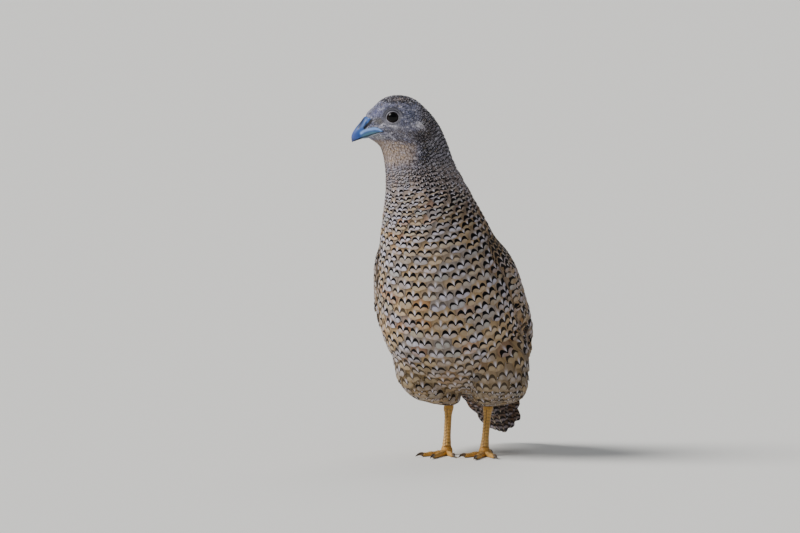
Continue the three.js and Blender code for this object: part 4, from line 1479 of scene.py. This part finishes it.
for order, (tier_name, feathers) in enumerate(tail_tiers.items()):
    rng = np.random.default_rng(120 + order)
    feathers = np.array(feathers)
    feathers[:, :6] += rng.normal(0, 1, (len(feathers), 6)) * [0.3, 0.2, 0.05, 0.5, 0.25, 0.05]
    under = tier_name.startswith("under")
    if under:
        feathers[:, 7] *= -1
    place = on_tail(feathers)
    _spots, unwrapped = feather_places(place, len(feathers), 0.3)
    lifts = (0.2, -0.4) if under else (-0.3, 0.3)
    made = lay_feathers(tier_name, place, unwrapped, lifts, wing_marks(len(feathers), rng, True),
                        12, 9, roundness=0.18, thick=0.26, camber=0.0, seed=130 + order,
                        ragged=0.008, swell=0.9)
    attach(made, "root")
    if tier_name == "tail_feathers":
        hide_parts("tail")

# %% [markdown]
# ## Feathers of the legs
# The thigh is feathered down to the heel, with soft short feathers that hang straight down.
# They stand in rows round the leg, and those at the top slip in under the flank.

# %% Thigh feathers
def thigh_rows(side):
    rng = np.random.default_rng(31 + side)
    found = []
    last = len(thigh_sizes) - 1
    step, row = 2.1, 0
    while step < last - 0.22:
        middle, wide, deep = thigh_ring(side, step)
        pitch = 5.0 * min(1.0, 0.35 + wide / 22)
        number = max(7, round(2 * math.pi * (wide + deep) / 2 / pitch))
        for i in range(number):
            turn = 2 * math.pi * (i + 0.5 * (row % 2)) / number + rng.normal(0, 0.03)
            way = np.array([wide * math.cos(turn), deep * math.sin(turn), 0.0])
            reach = np.linalg.norm(way)
            hit = ground.beam(middle, way / reach)
            if hit is None or np.linalg.norm(hit - middle) > reach + 0.6:
                continue
            found.append([*hit, 4.5, 0.0, pitch])
        step += pitch * 0.52 / 7.6
        row += 1
    return np.array(found)


for side, side_name in ((1, "left"), (-1, "right")):
    rng = np.random.default_rng(35 + side)
    chosen = thigh_rows(side)
    places, size = chosen[:, :3], chosen[:, 5]
    normal = ground.touch(places)[1]
    down = np.array([0.0, 0.1, -1.0]) + rng.normal(0, 0.05, (len(places), 3))
    way = unit(down - normal * (normal * down).sum(-1, keepdims=True))
    length = size * 1.9 * rng.uniform(0.92, 1.1, len(size))
    before = way * (length * 0.6)[:, None]
    lines, outs, unwrapped = trail(places - before, way, length)
    shown = lines[:, SHOWN_STEP]
    t_shown = spine_place(shown)[0]
    marks = markings(shown, t_shown, np.full(len(shown), -math.pi / 2), rng)
    made = lay_feathers(f"thigh_feathers_{side_name}", on_skin(lines, outs, size * HALF_WIDTH),
                        unwrapped, (-0.2, 1.15), marks, 8, 7, seed=36, thick=0.12)
    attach(made, "root")

# %% [markdown]
# ## Feathers of head and nape
# They are too small and too many for neat rows. Many random places are picked on the skin,
# one after another, and one is kept only where no other is nearer than the feather's size
# there: half a millimetre at the bill and lids, and almost four low on the nape. Feathers
# that would lie over the opening of the lids are left out.

# %% Scatter the roots of the head feathers
def head_spacing(points):
    """How far apart the small feathers stand."""
    bill = np.linalg.norm(points - BILL_BASE, axis=1)
    ahead, above, _out = from_eyes(points)
    eye = np.hypot(ahead, above)
    size = 0.62 + 0.60 * ease(bill, 2, 20) + 1.0 * ease(bill, 20, 42) + 1.6 * ease(bill, 42, 60)
    size = size + 0.35 * ease(above, 5, 9)
    near_eye = 0.62 + 0.45 * ease(eye, 3.5, 8.0) + 4 * ease(eye, 8, 22)
    return np.minimum(size, near_eye) * (0.78 + 0.22 * ease(bill, 30, 45))


CELL = 4


def scattered(points, spacing, seed):
    """Indices of points that keep their spacing, in random order."""
    rng = np.random.default_rng(seed)
    cells, chosen = {}, []
    for i in rng.permutation(len(points)):
        x, y, z = points[i]
        reach = spacing[i]
        at = (int(x // CELL), int(y // CELL), int(z // CELL))
        near = [kept for a in (-1, 0, 1) for b in (-1, 0, 1) for c in (-1, 0, 1)
                for kept in cells.get((at[0] + a, at[1] + b, at[2] + c), ())]
        if any((x - k[0]) ** 2 + (y - k[1]) ** 2 + (z - k[2]) ** 2 < ((reach + k[3]) / 2) ** 2
               for k in near):
            continue
        cells.setdefault(at, []).append((x, y, z, reach))
        chosen.append(i)
    return np.array(chosen)


def random_places(triangles, number, seed):
    """Random places on these triangles of the skin, alike in number on every square."""
    rng = np.random.default_rng(seed)
    a, b, c = (ground.points[ground.corners[triangles, k]] for k in range(3))
    area = np.linalg.norm(np.cross(b - a, c - a), axis=1)
    row = rng.choice(len(triangles), number, p=area / area.sum())
    share_b, share_c = rng.uniform(0, 1, (2, number))
    over = share_b + share_c > 1
    share_b, share_c = (np.where(over, 1 - share, share) for share in (share_b, share_c))
    return a[row] + (b - a)[row] * share_b[:, None] + (c - a)[row] * share_c[:, None]


CANDIDATES = 90000
LID_REACH = 3.75
upper = np.where((skin_t > NECK_THINS_FROM)[ground.corners].all(1))[0]
candidates = random_places(upper, CANDIDATES, 40)
ahead, above, _out = from_eyes(candidates)
keep = (np.hypot(ahead, above) > LID_REACH) & (bareness(ahead, above) < -0.05)
keep |= ahead < -20
candidates = candidates[keep]
spots_t = spine_place(candidates)[0]
spacing = head_spacing(candidates)
picked = scattered(candidates, spacing, 41)
print(len(picked), "head feathers")

# %% Lay the head feathers
HEAD_FROM, FACE_TOP, FACE_BACK = 16.4, 1.5, -9
HEAD_STEPS, HEAD_SHOWN_STEP, HEAD_HALF_WIDTH = 6, 4, 0.74
ahead, above, _out = from_eyes(candidates[picked])
on_head = spots_t[picked] >= HEAD_FROM
head_groups = {"face_feathers": on_head & (above < FACE_TOP) & (ahead > FACE_BACK),
               "crown_feathers": on_head & (above >= FACE_TOP),
               "cheek_feathers": on_head & (above < FACE_TOP) & (ahead <= FACE_BACK),
               "nape_feathers": ~on_head}
for order, (name, chosen) in enumerate(head_groups.items()):
    rng = np.random.default_rng(43 + order)
    at = picked[chosen]
    places, t, size = candidates[at], spots_t[at], spacing[at]
    normal = ground.touch(places)[1]
    way = lie(places, normal, t)
    way = unit(way + np.cross(normal, way) * rng.normal(0, 0.12, len(at))[:, None])
    length = size * (3.3 - 1.1 * ease(size, 1.2, 3.0)) * rng.uniform(0.9, 1.1, len(at))
    before = way * (length * 0.35)[:, None]
    lines, outs, unwrapped = trail(places - before, way, length, HEAD_STEPS)
    ahead, above, out = from_eyes(lines)
    clear = np.hypot(ahead, above).min(1) > LID_REACH - 0.35
    clear |= np.abs(out[:, 0]) < 3
    lines, outs, unwrapped, size = lines[clear], outs[clear], unwrapped[clear], size[clear]
    shown = lines[:, HEAD_SHOWN_STEP]
    t_shown, angle_shown = spine_place(shown)
    marks = markings(shown, t_shown, angle_shown, rng)
    depth = np.minimum(coat_depth(shown, t_shown) * 1.15, size * 0.50)
    made = lay_feathers(name, on_skin(lines, outs, size * HEAD_HALF_WIDTH), unwrapped,
                        (-0.12, depth), marks, 6, 5, seed=45 + order, roundness=0.24,
                        thick=0.06, camber=0.05, tilt=0.02, swell=0.8)
    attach(made, "root")

# %% [markdown]
# ## Glass eyes
# A quail's eye is a dark bulb. The disc that shows is five millimetres wide, with a nearly
# black pupil, and round it an iris so dark a brown that only a bright sky tells them apart.
# The front bulges a little more than a ball, as a cornea does.

# %% Pieces made of closed forms
def facing_out(points, faces):
    """The faces of a closed form, turned over if it is inside out."""
    points = np.asarray(points) - np.mean(points, axis=0)
    corners = points[np.array([face[:3] for face in faces])]
    volume = (np.cross(corners[:, 0], corners[:, 1]) * corners[:, 2]).sum()
    return faces if volume > 0 else [face[::-1] for face in faces]


def closed_wreath(rings):
    """Points and faces of a grid that closes round both ways, like a bread ring."""
    rows, count = rings.shape[:2]
    faces = [(k * count + i, k * count + (i + 1) % count,
              (k + 1) % rows * count + (i + 1) % count, (k + 1) % rows * count + i)
             for k in range(rows) for i in range(count)]
    return list(rings.reshape(-1, 3)), faces


def smooth_piece(name, grids, finish, slot, *solids_it_replaces, form=closed_tube):
    """One smooth piece from closed forms, each a grid of points and one of colours."""
    points, faces, coats = [], [], []
    for rings, coat in grids:
        more, quads = form(rings)
        start = len(points)
        faces += [tuple(start + i for i in face) for face in facing_out(more, quads)]
        points += list(more)
        coats.append(coat.reshape(-1, coat.shape[-1]))
        if form is closed_tube:
            coats += [coat[:1].mean(1), coat[-1:].mean(1)]
    made = mesh_object(name, points, faces)
    made.data.shade_smooth()
    coats = np.vstack(coats)
    if coats.shape[1] == 3:
        coats = np.column_stack([coats, np.ones(len(coats))])
    colour_layer(made.data, "coat", coats)
    made.data.materials.append(finish.material)
    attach(made, "root")
    if solids_it_replaces:
        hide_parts(*solids_it_replaces)
    print(name, len(made.data.polygons), "faces")


# %% Eyes
PUPIL_RADIUS = 2.05
CORNEA_BULGE = 0.28


def eyeball(side):
    """The globe of one eye, with its front pushed out like a cornea."""
    lean = np.radians(np.linspace(1.5, 178.5, 60))[:, None]
    turn = full_turn(72)[None]
    bulge = 1 + CORNEA_BULGE / EYE_RADIUS * ease(np.cos(lean), 0.70, 0.97)
    radius = EYE_RADIUS * bulge
    ahead = radius * np.sin(lean) * np.cos(turn)
    above = radius * np.sin(lean) * np.sin(turn)
    rings = head_point(ahead, above, side * (EYE_OUT + radius * np.cos(lean)))
    far = np.hypot(ahead, above) / EYE_RADIUS
    return rings, np.stack([0.5 + ahead / 8, 0.5 + above / 8, far, far], -1)


eye_finish = Finish("eye", Roughness=0.20, Coat_Weight=0.15, Coat_Roughness=0.14)
eye_finish.shader.inputs["Specular IOR Level"].default_value = 0.09
where, far = eye_finish.attribute("coat")
streaks = eye_finish.noise(where, 46.0, 3.0, 0.6)
iris = eye_finish.blend(streaks.fade(0.35, 0.7), rgba(paint(20, 14, 12)),
                        rgba(paint(44, 30, 24)))
iris = eye_finish.blend(far.fade(0.62, 0.80), iris, rgba(paint(20, 15, 14)))
pupil = far.fade(PUPIL_RADIUS / EYE_RADIUS + 0.03, PUPIL_RADIUS / EYE_RADIUS - 0.01)
eye_finish.feed("Base Color", eye_finish.blend(pupil, iris, rgba(paint(5, 5, 7))))
for side, side_name in ((1, "left"), (-1, "right")):
    smooth_piece(f"eyeball_{side_name}", [eyeball(side)], eye_finish, "eye", f"eye_{side_name}")

# %% [markdown]
# ## Lids
# The lids leave an opening that is a little longer than it is high. Their rim is a thin pale
# roll that touches the eye, and outside it two or three fine folds run round the eye and
# flatten into the skin, under the first feathers.

# %% Lids
LID_OUTER = 4.45
FOLD_HEIGHT = 0.075


def lid_ring(side):
    """The lids of one eye, from their rim out to the skin and back below."""
    turn = full_turn(120)[None]
    over = np.linspace(0, 1, 26)
    under = np.array([0.92, 0.6, 0.25, 0.0])
    s = np.concatenate([over, under])[:, None]
    below = np.concatenate([0 * over, 0 * under + 1])[:, None]
    wide = 2.62 + 0.22 * np.maximum(np.cos(turn + 0.3), 0) ** 10
    inner = np.hypot(wide * np.cos(turn), 2.44 * np.sin(turn))
    far = inner + (LID_OUTER - inner) * s
    ball = EYE_OUT + np.sqrt(np.maximum(EYE_RADIUS ** 2 - np.minimum(far, 3.2) ** 2, 0))
    spots = head_point(LID_OUTER * np.cos(turn), LID_OUTER * np.sin(turn), side * 7.6)
    skin_out = from_eyes(ground.touch(spots)[0])[2] * side
    rim = EYE_OUT + np.sqrt(EYE_RADIUS ** 2 - inner ** 2)
    roll = 0.36 * np.sqrt(np.clip(1 - ((s - 0.09) / 0.10) ** 2, 0, 1)) * (s < 0.19)
    slope = rim + 0.16 - (rim + 0.30 - skin_out) * ease(s, 0.12, 1.0)
    folds = np.sin(2 * math.pi * (s * 3.4 - 0.1)) * ease(s, 0.15, 0.3) * ease(s, 1.0, 0.8)
    beads = 0.03 * np.sin(turn * 44) * ease(s, 0.22, 0.1)
    height = np.maximum(slope + FOLD_HEIGHT * folds, rim - 0.1 + roll) + beads
    height = np.where(below > 0, np.minimum(height, ball) - 0.45, height)
    height = np.where((below > 0) & (s == 0), rim - 0.25, height)
    return head_point(far * np.cos(turn), far * np.sin(turn), side * height), lid_tone(
        s, turn, np.clip(-folds, 0, 1))


def lid_tone(s, turn, fold_shade):
    """Colours of the lids: dark over the eye, pale along the rim, and painted shade in each fold.
    """
    brow = ease(np.sin(turn + 0.35), -0.2, 0.6)
    front = ease(np.cos(turn - 1.1), -0.3, 0.6)
    return layered(
        paint(138, 136, 148),
        (paint(82, 82, 96), 0.80 * brow * ease(s, 0.1, 0.4)),
        (paint(192, 188, 198), ease(s, 0.30, 0.12) * (0.06 + 0.40 * (1 - brow))),
        (paint(36, 35, 44), 0.8 * np.exp(-((s - 0.42) / 0.09) ** 2) * front),
        (paint(164, 162, 178), 0.5 * np.exp(-((s - 0.62) / 0.08) ** 2) * front),
        (paint(26, 25, 32), 0.75 * ease(s, 0.05, 0.0) + 0 * turn),
        # painted shade in the grooves between the folds, stronger over the eye
        (paint(48, 48, 60), fold_shade * (0.30 + 0.55 * brow)))


lid_finish = Finish("lids", Roughness=0.55)
draw_skin(lid_finish)
smooth_piece("lids", [lid_ring(1), lid_ring(-1)], lid_finish, "face_feathers",
             form=closed_wreath)
print("the lids reach", LID_REACH, "mm from the middle of the eye before the feathers begin")

# %% [markdown]
# ## The bill
# The upper half is a short arched hook, the lower half a thin trough under it. On the upper
# half a soft scale swells over the nostril, painted paler as a highlight, and a slit lies
# behind it, painted dark as shade. A pale blue rim runs from the middle of the bill back to
# the corner of the mouth, partly its own colour and partly a painted highlight. Painted shade
# darkens the crease beside the scale, the mouth line, the tip's lower edge and the front of
# the lower half, and a painted highlight makes the tip paler. Behind the feathers' edge the
# horn lies just outside the skin where the figure is bare, and just inside it elsewhere.

# %% Sizes of the bill
# lower edge ahead and above, ridge ahead and above, half width
UPPER_BILL = np.array([
    [3.3, -6.50, 3.6, -5.6, 2.5], [5.2, -6.75, 5.6, -3.6, 3.4], [7.2, -7.35, 7.9, -1.9, 4.2],
    [9.0, -8.10, 9.8, -0.7, 4.5], [11.2, -8.85, 12.1, -0.3, 4.15], [13.2, -9.45, 14.1, -2.7, 3.5],
    [15.0, -10.10, 16.0, -5.0, 2.75], [16.5, -10.80, 17.4, -7.0, 1.95],
    [17.4, -11.45, 18.2, -8.9, 1.3], [17.8, -11.90, 18.3, -10.5, 0.8],
    [17.9, -12.20, 18.1, -11.6, 0.35]])
# upper edge ahead and above, underside ahead and above, half width
LOWER_BILL = np.array([
    [3.5, -6.75, 3.7, -7.6, 2.4], [5.7, -7.15, 5.9, -8.6, 3.2], [8.6, -8.15, 8.8, -9.6, 3.9],
    [11.0, -9.05, 11.2, -10.2, 3.5], [13.1, -9.60, 13.3, -10.45, 2.8],
    [15.0, -10.30, 15.2, -11.0, 2.0], [16.5, -11.00, 16.65, -11.5, 1.2],
    [17.2, -11.45, 17.3, -11.75, 0.5]])
PALE_RIM = [(5.2, -6.15), (6.4, -5.55), (8.0, -5.45), (10.6, -5.95), (12.7, -6.75), (14.0, -7.7)]
RIM_TOP = [(5.4, -5.75), (6.9, -4.95), (8.8, -4.80), (10.7, -5.25), (12.3, -5.9)]
SLIT = [(9.2, -1.5), (10.3, -3.2), (12.3, -5.2)]
SCALE_LINE = [(11.3, -1.1), (12.5, -3.1), (13.3, -4.9)]
CULMEN_LINE = [(12.7, -0.8), (14.2, -3.6), (15.2, -5.2)]
MOUTH_LINE = [(4.2, -6.5), (7.3, -7.35), (9.2, -8.15), (11.2, -8.9), (14.0, -9.75),
              (18.0, -11.8)]


PAST_SKIN = 12.8


def bill_shell(sizes, steps, count):
    """A fine grid over one half of the bill: places ahead, above and out to the left."""
    row = along(sizes, np.linspace(0, len(sizes) - 1, steps))[:, None]
    turn = np.linspace(0, math.pi, count)[None]
    rise = np.sin(turn) ** 0.85
    ahead = row[..., 0] + (row[..., 2] - row[..., 0]) * rise
    above = row[..., 1] + (row[..., 3] - row[..., 1]) * rise
    out = row[..., 4] * np.cos(turn)
    start = head_point(ahead, above)
    skin_out = np.zeros(out.shape)
    for k in zip(*np.nonzero(ahead < PAST_SKIN)):
        hit = ground.beam(start[k], HEAD_LEFT * (1.0 if out[k] >= 0 else -1.0))
        skin_out[k] = 0 if hit is None else abs(from_eyes(hit)[2])
    bare = ease(bareness(ahead, above), -0.30, 0.10) * ease(np.abs(out), 0.0, 0.8)
    wide = np.abs(out)
    shown = np.maximum(wide, skin_out + 0.16)
    hidden = np.minimum(wide, np.maximum(skin_out - 0.55, 0))
    wide = np.where(skin_out > 0, hidden + (shown - hidden) * bare, wide)
    return ahead, above, np.sign(out) * wide


def bump_on(ahead, above, line, reach):
    """1 on a line of the bill, and less the farther off."""
    return np.exp(-(line_gap(ahead, above, line) / reach) ** 2)


# %% Upper bill
ahead, above, out = bill_shell(UPPER_BILL, 110, 61)
sides = ease(np.abs(out), 0.5, 1.4)
slit = bump_on(ahead, above, SLIT, 0.72)
scale = bump_on(ahead, above, SCALE_LINE, 0.75)
rim = bump_on(ahead, above, PALE_RIM, 0.55)
rim_top = bump_on(ahead, above, RIM_TOP, 0.28)
crease = bump_on(ahead, above, CULMEN_LINE, 0.48)
out = out + np.sign(out) * sides * (0.42 * scale + 0.30 * rim + 0.10 * rim_top
                                    - 0.55 * slit - 0.16 * crease)
tip = ease(ahead, 14.5, 19.0)
under_rim = (ease(line_gap(ahead, above, PALE_RIM), 0.7, 1.2) * ease(above, -6.0, -7.2)
             * ease(ahead, 15, 12.5))
ridge = ease(np.abs(out), 0.55, 0.15) * ease(ahead, 18.0, 13.0)
upper_tone = layered(
    paint(38, 76, 146),
    (paint(60, 98, 166), 0.6 * ease(above, -8.5, -5.0)),
    (paint(84, 128, 146), 0.8 * under_rim),
    # painted highlight: the tip paler and more purple
    (paint(104, 114, 182), 0.50 * tip),
    # painted shade: the tip darker toward its lower edge
    (paint(54, 60, 84), 0.75 * ease(above, -9.4, -11.0) * tip),
    # painted highlight: the nostril scale paler
    (paint(92, 122, 172), 0.50 * scale * sides),
    # the pale blue rim: partly its own colour, partly a painted highlight along it
    (paint(148, 188, 252), 0.95 * rim * sides),
    (paint(96, 118, 140), 0.75 * rim_top * sides * (1 - rim)),
    # painted shade: dark in the crease beside the nostril scale
    (paint(16, 24, 50), 0.92 * crease * ease(np.abs(out), 0.05, 0.5)),
    # painted shade: the nostril's slit nearly black
    (paint(12, 16, 30), 0.95 * ease(slit, 0.20, 0.65) * sides),
    (paint(30, 42, 70), 0.55 * ridge),
    # painted shade: dark along the mouth line, in the gap between the halves
    (paint(18, 26, 34), 0.70 * bump_on(ahead, above, MOUTH_LINE, 0.22)))
upper_rings = head_point(ahead, above, out)
print("the upper bill is", round(float(np.ptp(ahead)), 1), "mm long")

# %% Lower bill
ahead, above, out = bill_shell(LOWER_BILL, 90, 41)
lower_tone = layered(
    paint(150, 156, 168),
    (paint(92, 116, 142), ease(ahead, 9.0, 12.5)),
    # painted shade: the front of the lower half nearly black, under the hook
    (paint(20, 24, 30), 0.85 * ease(ahead, 12.8, 15.0)),
    (paint(92, 96, 100), 0.5 * ease(above, -8.6, -10.0) * ease(ahead, 13, 11)))
lower_rings = head_point(ahead, above, out)


# %% Horn of the bill
def draw_horn(finish, growth, grain):
    """Horn: its kept colour, clouded, with fine growth lines."""
    colour, _none = finish.attribute("coat")
    here = finish.place()
    clouds = finish.noise(here, 420.0, 3.0)
    lines = finish.noise(here, grain, 4.0, 0.65)
    shade = clouds * 0.30 + lines * 0.22 + 0.74
    finish.feed("Base Color", finish.toned(colour, shade))
    finish.bump(lines, growth, 0.6)


bill_finish = Finish("bill_horn", Roughness=0.42)
bill_finish.shader.inputs["Specular IOR Level"].default_value = 0.36
draw_horn(bill_finish, 0.00008, 1700.0)
smooth_piece("upper_bill", [(upper_rings, upper_tone)], bill_finish, "bill_horn", "bill_upper")
smooth_piece("lower_bill", [(lower_rings, lower_tone)], bill_finish, "bill_horn", "bill_lower")

# %% [markdown]
# ## Legs
# The shank carries two rows of large scales in front, set like bricks, and small round ones
# behind. Each toe has a row of plates on top, like roof tiles, and soft pads below. The
# swelling at a joint is a wave along the toe.

# %% Shanks
SHANK_TOP, SHANK_FOOT = (9.4, 4.6, 22.4), (9.0, -0.6, 4.2)
FRONT_SCALES = 11
LEG_BUFF, LEG_PALE, LEG_SEAM = paint(206, 152, 62), paint(224, 186, 116), paint(108, 70, 30)


def tile_wave(q):
    """Height over one tile, rising to its lower edge and falling off there, and its seam."""
    part = q - np.floor(q)
    seam = ease(part, 0.86, 0.94) * ease(part, 1.0, 0.97) + ease(part, 0.08, 0.0)
    return part * ease(part, 1.0, 0.90), seam


def shank(side):
    """The lower leg, with two rows of scales in front."""
    s = np.linspace(0, 1, 190)[:, None]
    turn = full_turn(60)[None]
    front = np.maximum(-np.sin(turn), 0)
    brick = 0.5 * ease(np.cos(turn), -0.06, 0.06) - 0.25 * np.abs(np.cos(turn))
    height, seam = tile_wave((s - 0.06) / 0.88 * FRONT_SCALES + brick)
    on_front = ease(front, 0.10, 0.45) * ease(s, 0.03, 0.10)
    split = np.exp(-(np.cos(turn) / 0.10) ** 2) * (np.sin(turn) < 0)
    knobs = 0.75 * np.exp(-((s - 0.05) / 0.13) ** 2) + 0.45 * np.exp(-((s - 1) / 0.16) ** 2)
    radius = 1.72 + knobs + on_front * (0.30 * height - 0.12 * split)
    top, foot = (np.array([side * p[0], p[1], p[2]]) for p in (SHANK_TOP, SHANK_FOOT))
    middle = top + (foot - top) * s[..., None]
    ring = np.stack([radius * 0.9 * np.cos(turn), radius * 1.1 * np.sin(turn), 0 * radius], -1)
    return middle + ring, layered(
        mixed(LEG_BUFF, LEG_PALE, 0.5 * height * on_front + 0.15),
        (LEG_SEAM, np.clip(seam + split, 0, 1) * on_front * 0.8),
        (paint(120, 92, 56), 0.45 * ease(np.sin(turn), 0.0, 0.8) + 0 * s))


def foot_hub(side):
    """The knob where the toes meet."""
    sizes = np.array([[0.02, 1.9], [0.5, 2.35], [1.2, 2.7], [2.6, 2.6], [3.6, 2.2], [4.6, 1.9]])
    row = along(sizes, np.linspace(0, 5, 30))[:, None]
    turn = full_turn(48)[None]
    height, seam = tile_wave(row[..., 0] / 1.15 + 0.5 * ease(np.cos(turn), -0.06, 0.06))
    radius = row[..., 1] + 0.14 * height * (np.sin(turn) < 0)
    middle = np.array([side * SHANK_FOOT[0], SHANK_FOOT[1], 0.0])
    ring = np.stack([radius * np.cos(turn), radius * np.sin(turn), row[..., 0] + 0 * turn], -1)
    tone = mixed(LEG_BUFF, LEG_SEAM, 0.6 * seam * (np.sin(turn) < 0))
    return middle + ring, tone


# %% Toes
# heading from straight ahead, length, number of joints
TOES = {"inner": (-27, 14.0, 2), "middle": (3, 20.0, 3), "outer": (32, 15.5, 3),
        "hind": (172, 6.5, 1)}
CLAW_ROOT, CLAW_TIP = paint(112, 92, 70), paint(52, 42, 36)


def toe_frame(side, heading):
    turn = math.radians(heading * side)
    way = np.array([math.sin(turn), -math.cos(turn), 0.0])
    return np.array([side * SHANK_FOOT[0], SHANK_FOOT[1], 0.0]), way, np.cross(UP, way)


def toe(side, heading, length, joints):
    """A toe with plates on top and a flat sole."""
    plates = round(length / 1.35)
    s = np.linspace(0, 1, plates * 12 + 1)[:, None]
    turn = full_turn(40)[None]
    swell = 0.13 * np.cos(2 * math.pi * s * joints)
    above = np.maximum(np.sin(turn), 0)
    height, seam = tile_wave(s * plates)
    on_top = ease(above, 0.25, 0.7)
    tip = np.sqrt(np.clip((1.0 - s) / 0.06, 0.02, 1))
    wide = 1.22 * (1.12 - 0.3 * s + swell) * (0.35 + 0.65 * tip)
    tall = (2.15 * (1.08 - 0.22 * s + 0.5 * swell) + 0.18 * height * on_top) * (0.6 + 0.4 * tip)
    sole = 0.28 * np.maximum(np.sin(math.pi * (s * joints * 2 + 0.5)), 0) ** 2
    lift = np.where(np.sin(turn) >= 0, 0.55 + (tall - 0.55) * above ** 0.8,
                    0.55 - (0.53 - sole) * np.maximum(-np.sin(turn), 0) ** 0.6)
    start, way, across = toe_frame(side, heading)
    rings = (start + way * (length * s)[..., None] + across * (wide * np.cos(turn))[..., None]
             + UP * lift[..., None])
    return rings, layered(
        mixed(LEG_BUFF, LEG_PALE, 0.6 * height * on_top + 0.1),
        (LEG_SEAM, 0.75 * seam * on_top),
        (paint(150, 122, 84), 0.8 * (np.sin(turn) < -0.2) + 0 * s))


# %% Claws
def claw(side, heading, length):
    """A short claw that bends down at the end of its toe."""
    s = np.linspace(0, 1, 34)[:, None]
    turn = full_turn(28)[None]
    reach = 2.4 + 0.09 * length
    radius = 0.76 * np.clip(1 - s, 0, 1) ** 0.7 + 0.13
    start, way, across = toe_frame(side, heading)
    at = length - 0.45 + (reach + 0.8) * s
    middle = 1.2 + 0.35 * np.sin(math.pi * s) - 0.62 * s ** 2
    flat = 0.82 + 0.10 * np.sin(turn)
    rings = (start + way * at[..., None] + across * (radius * flat * np.cos(turn))[..., None]
             + UP * (middle + radius * 1.12 * np.sin(turn))[..., None])
    tone = mixed(CLAW_ROOT, CLAW_TIP, ease(s, 0.1, 0.9) + 0.15 * np.sin(turn * 3))
    return rings, tone


# %% Leg skin, and the pieces of both legs
def draw_leg(finish):
    """Scaly skin: the kept colour, small round scales, and wear."""
    colour, _none = finish.attribute("coat")
    here = finish.place()
    cells = finish.node("TexVoronoi", [("Vector", here), ("Scale", 1150.0)],
                        feature="DISTANCE_TO_EDGE")
    round_scales = Wire(finish.tree, cells.outputs["Distance"]).fade(0.0, 0.20)
    wear = finish.noise(here, 500.0, 4.0, 0.6)
    shade = round_scales * 0.14 + wear * 0.36 + 0.70
    finish.feed("Base Color", finish.toned(colour, shade))
    finish.bump(round_scales + wear * 0.5, 0.00009, 0.8)


leg_finish = Finish("leg_skin", Roughness=0.48)
draw_leg(leg_finish)
claw_finish = Finish("claw_horn", Roughness=0.35)
draw_horn(claw_finish, 0.00005, 2600.0)
for side, side_name in ((1, "left"), (-1, "right")):
    toes = [toe(side, *sizes) for sizes in TOES.values()]
    smooth_piece(f"leg_{side_name}", [shank(side), foot_hub(side), *toes], leg_finish,
                 "leg_skin", f"tarsus_{side_name}", f"foot_{side_name}")
    smooth_piece(f"claws_{side_name}", [claw(side, *sizes[:2]) for sizes in TOES.values()],
                 claw_finish, "claw_horn", *(f"claw_{side_name}_{name}" for name in TOES))

# %% [markdown]
# ## Compare with the solids
# The boxes of the solids and of the finished bird are printed side by side, in millimetres.
# The finished bird must fill the same box as the solids, within a few millimetres.

# %% Measure both boxes
visual_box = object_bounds()
for name, box in (("solids", cad_box), ("finished", visual_box)):
    print(name, [round((high - low) / MM, 1) for low, high in zip(*box)], "mm")
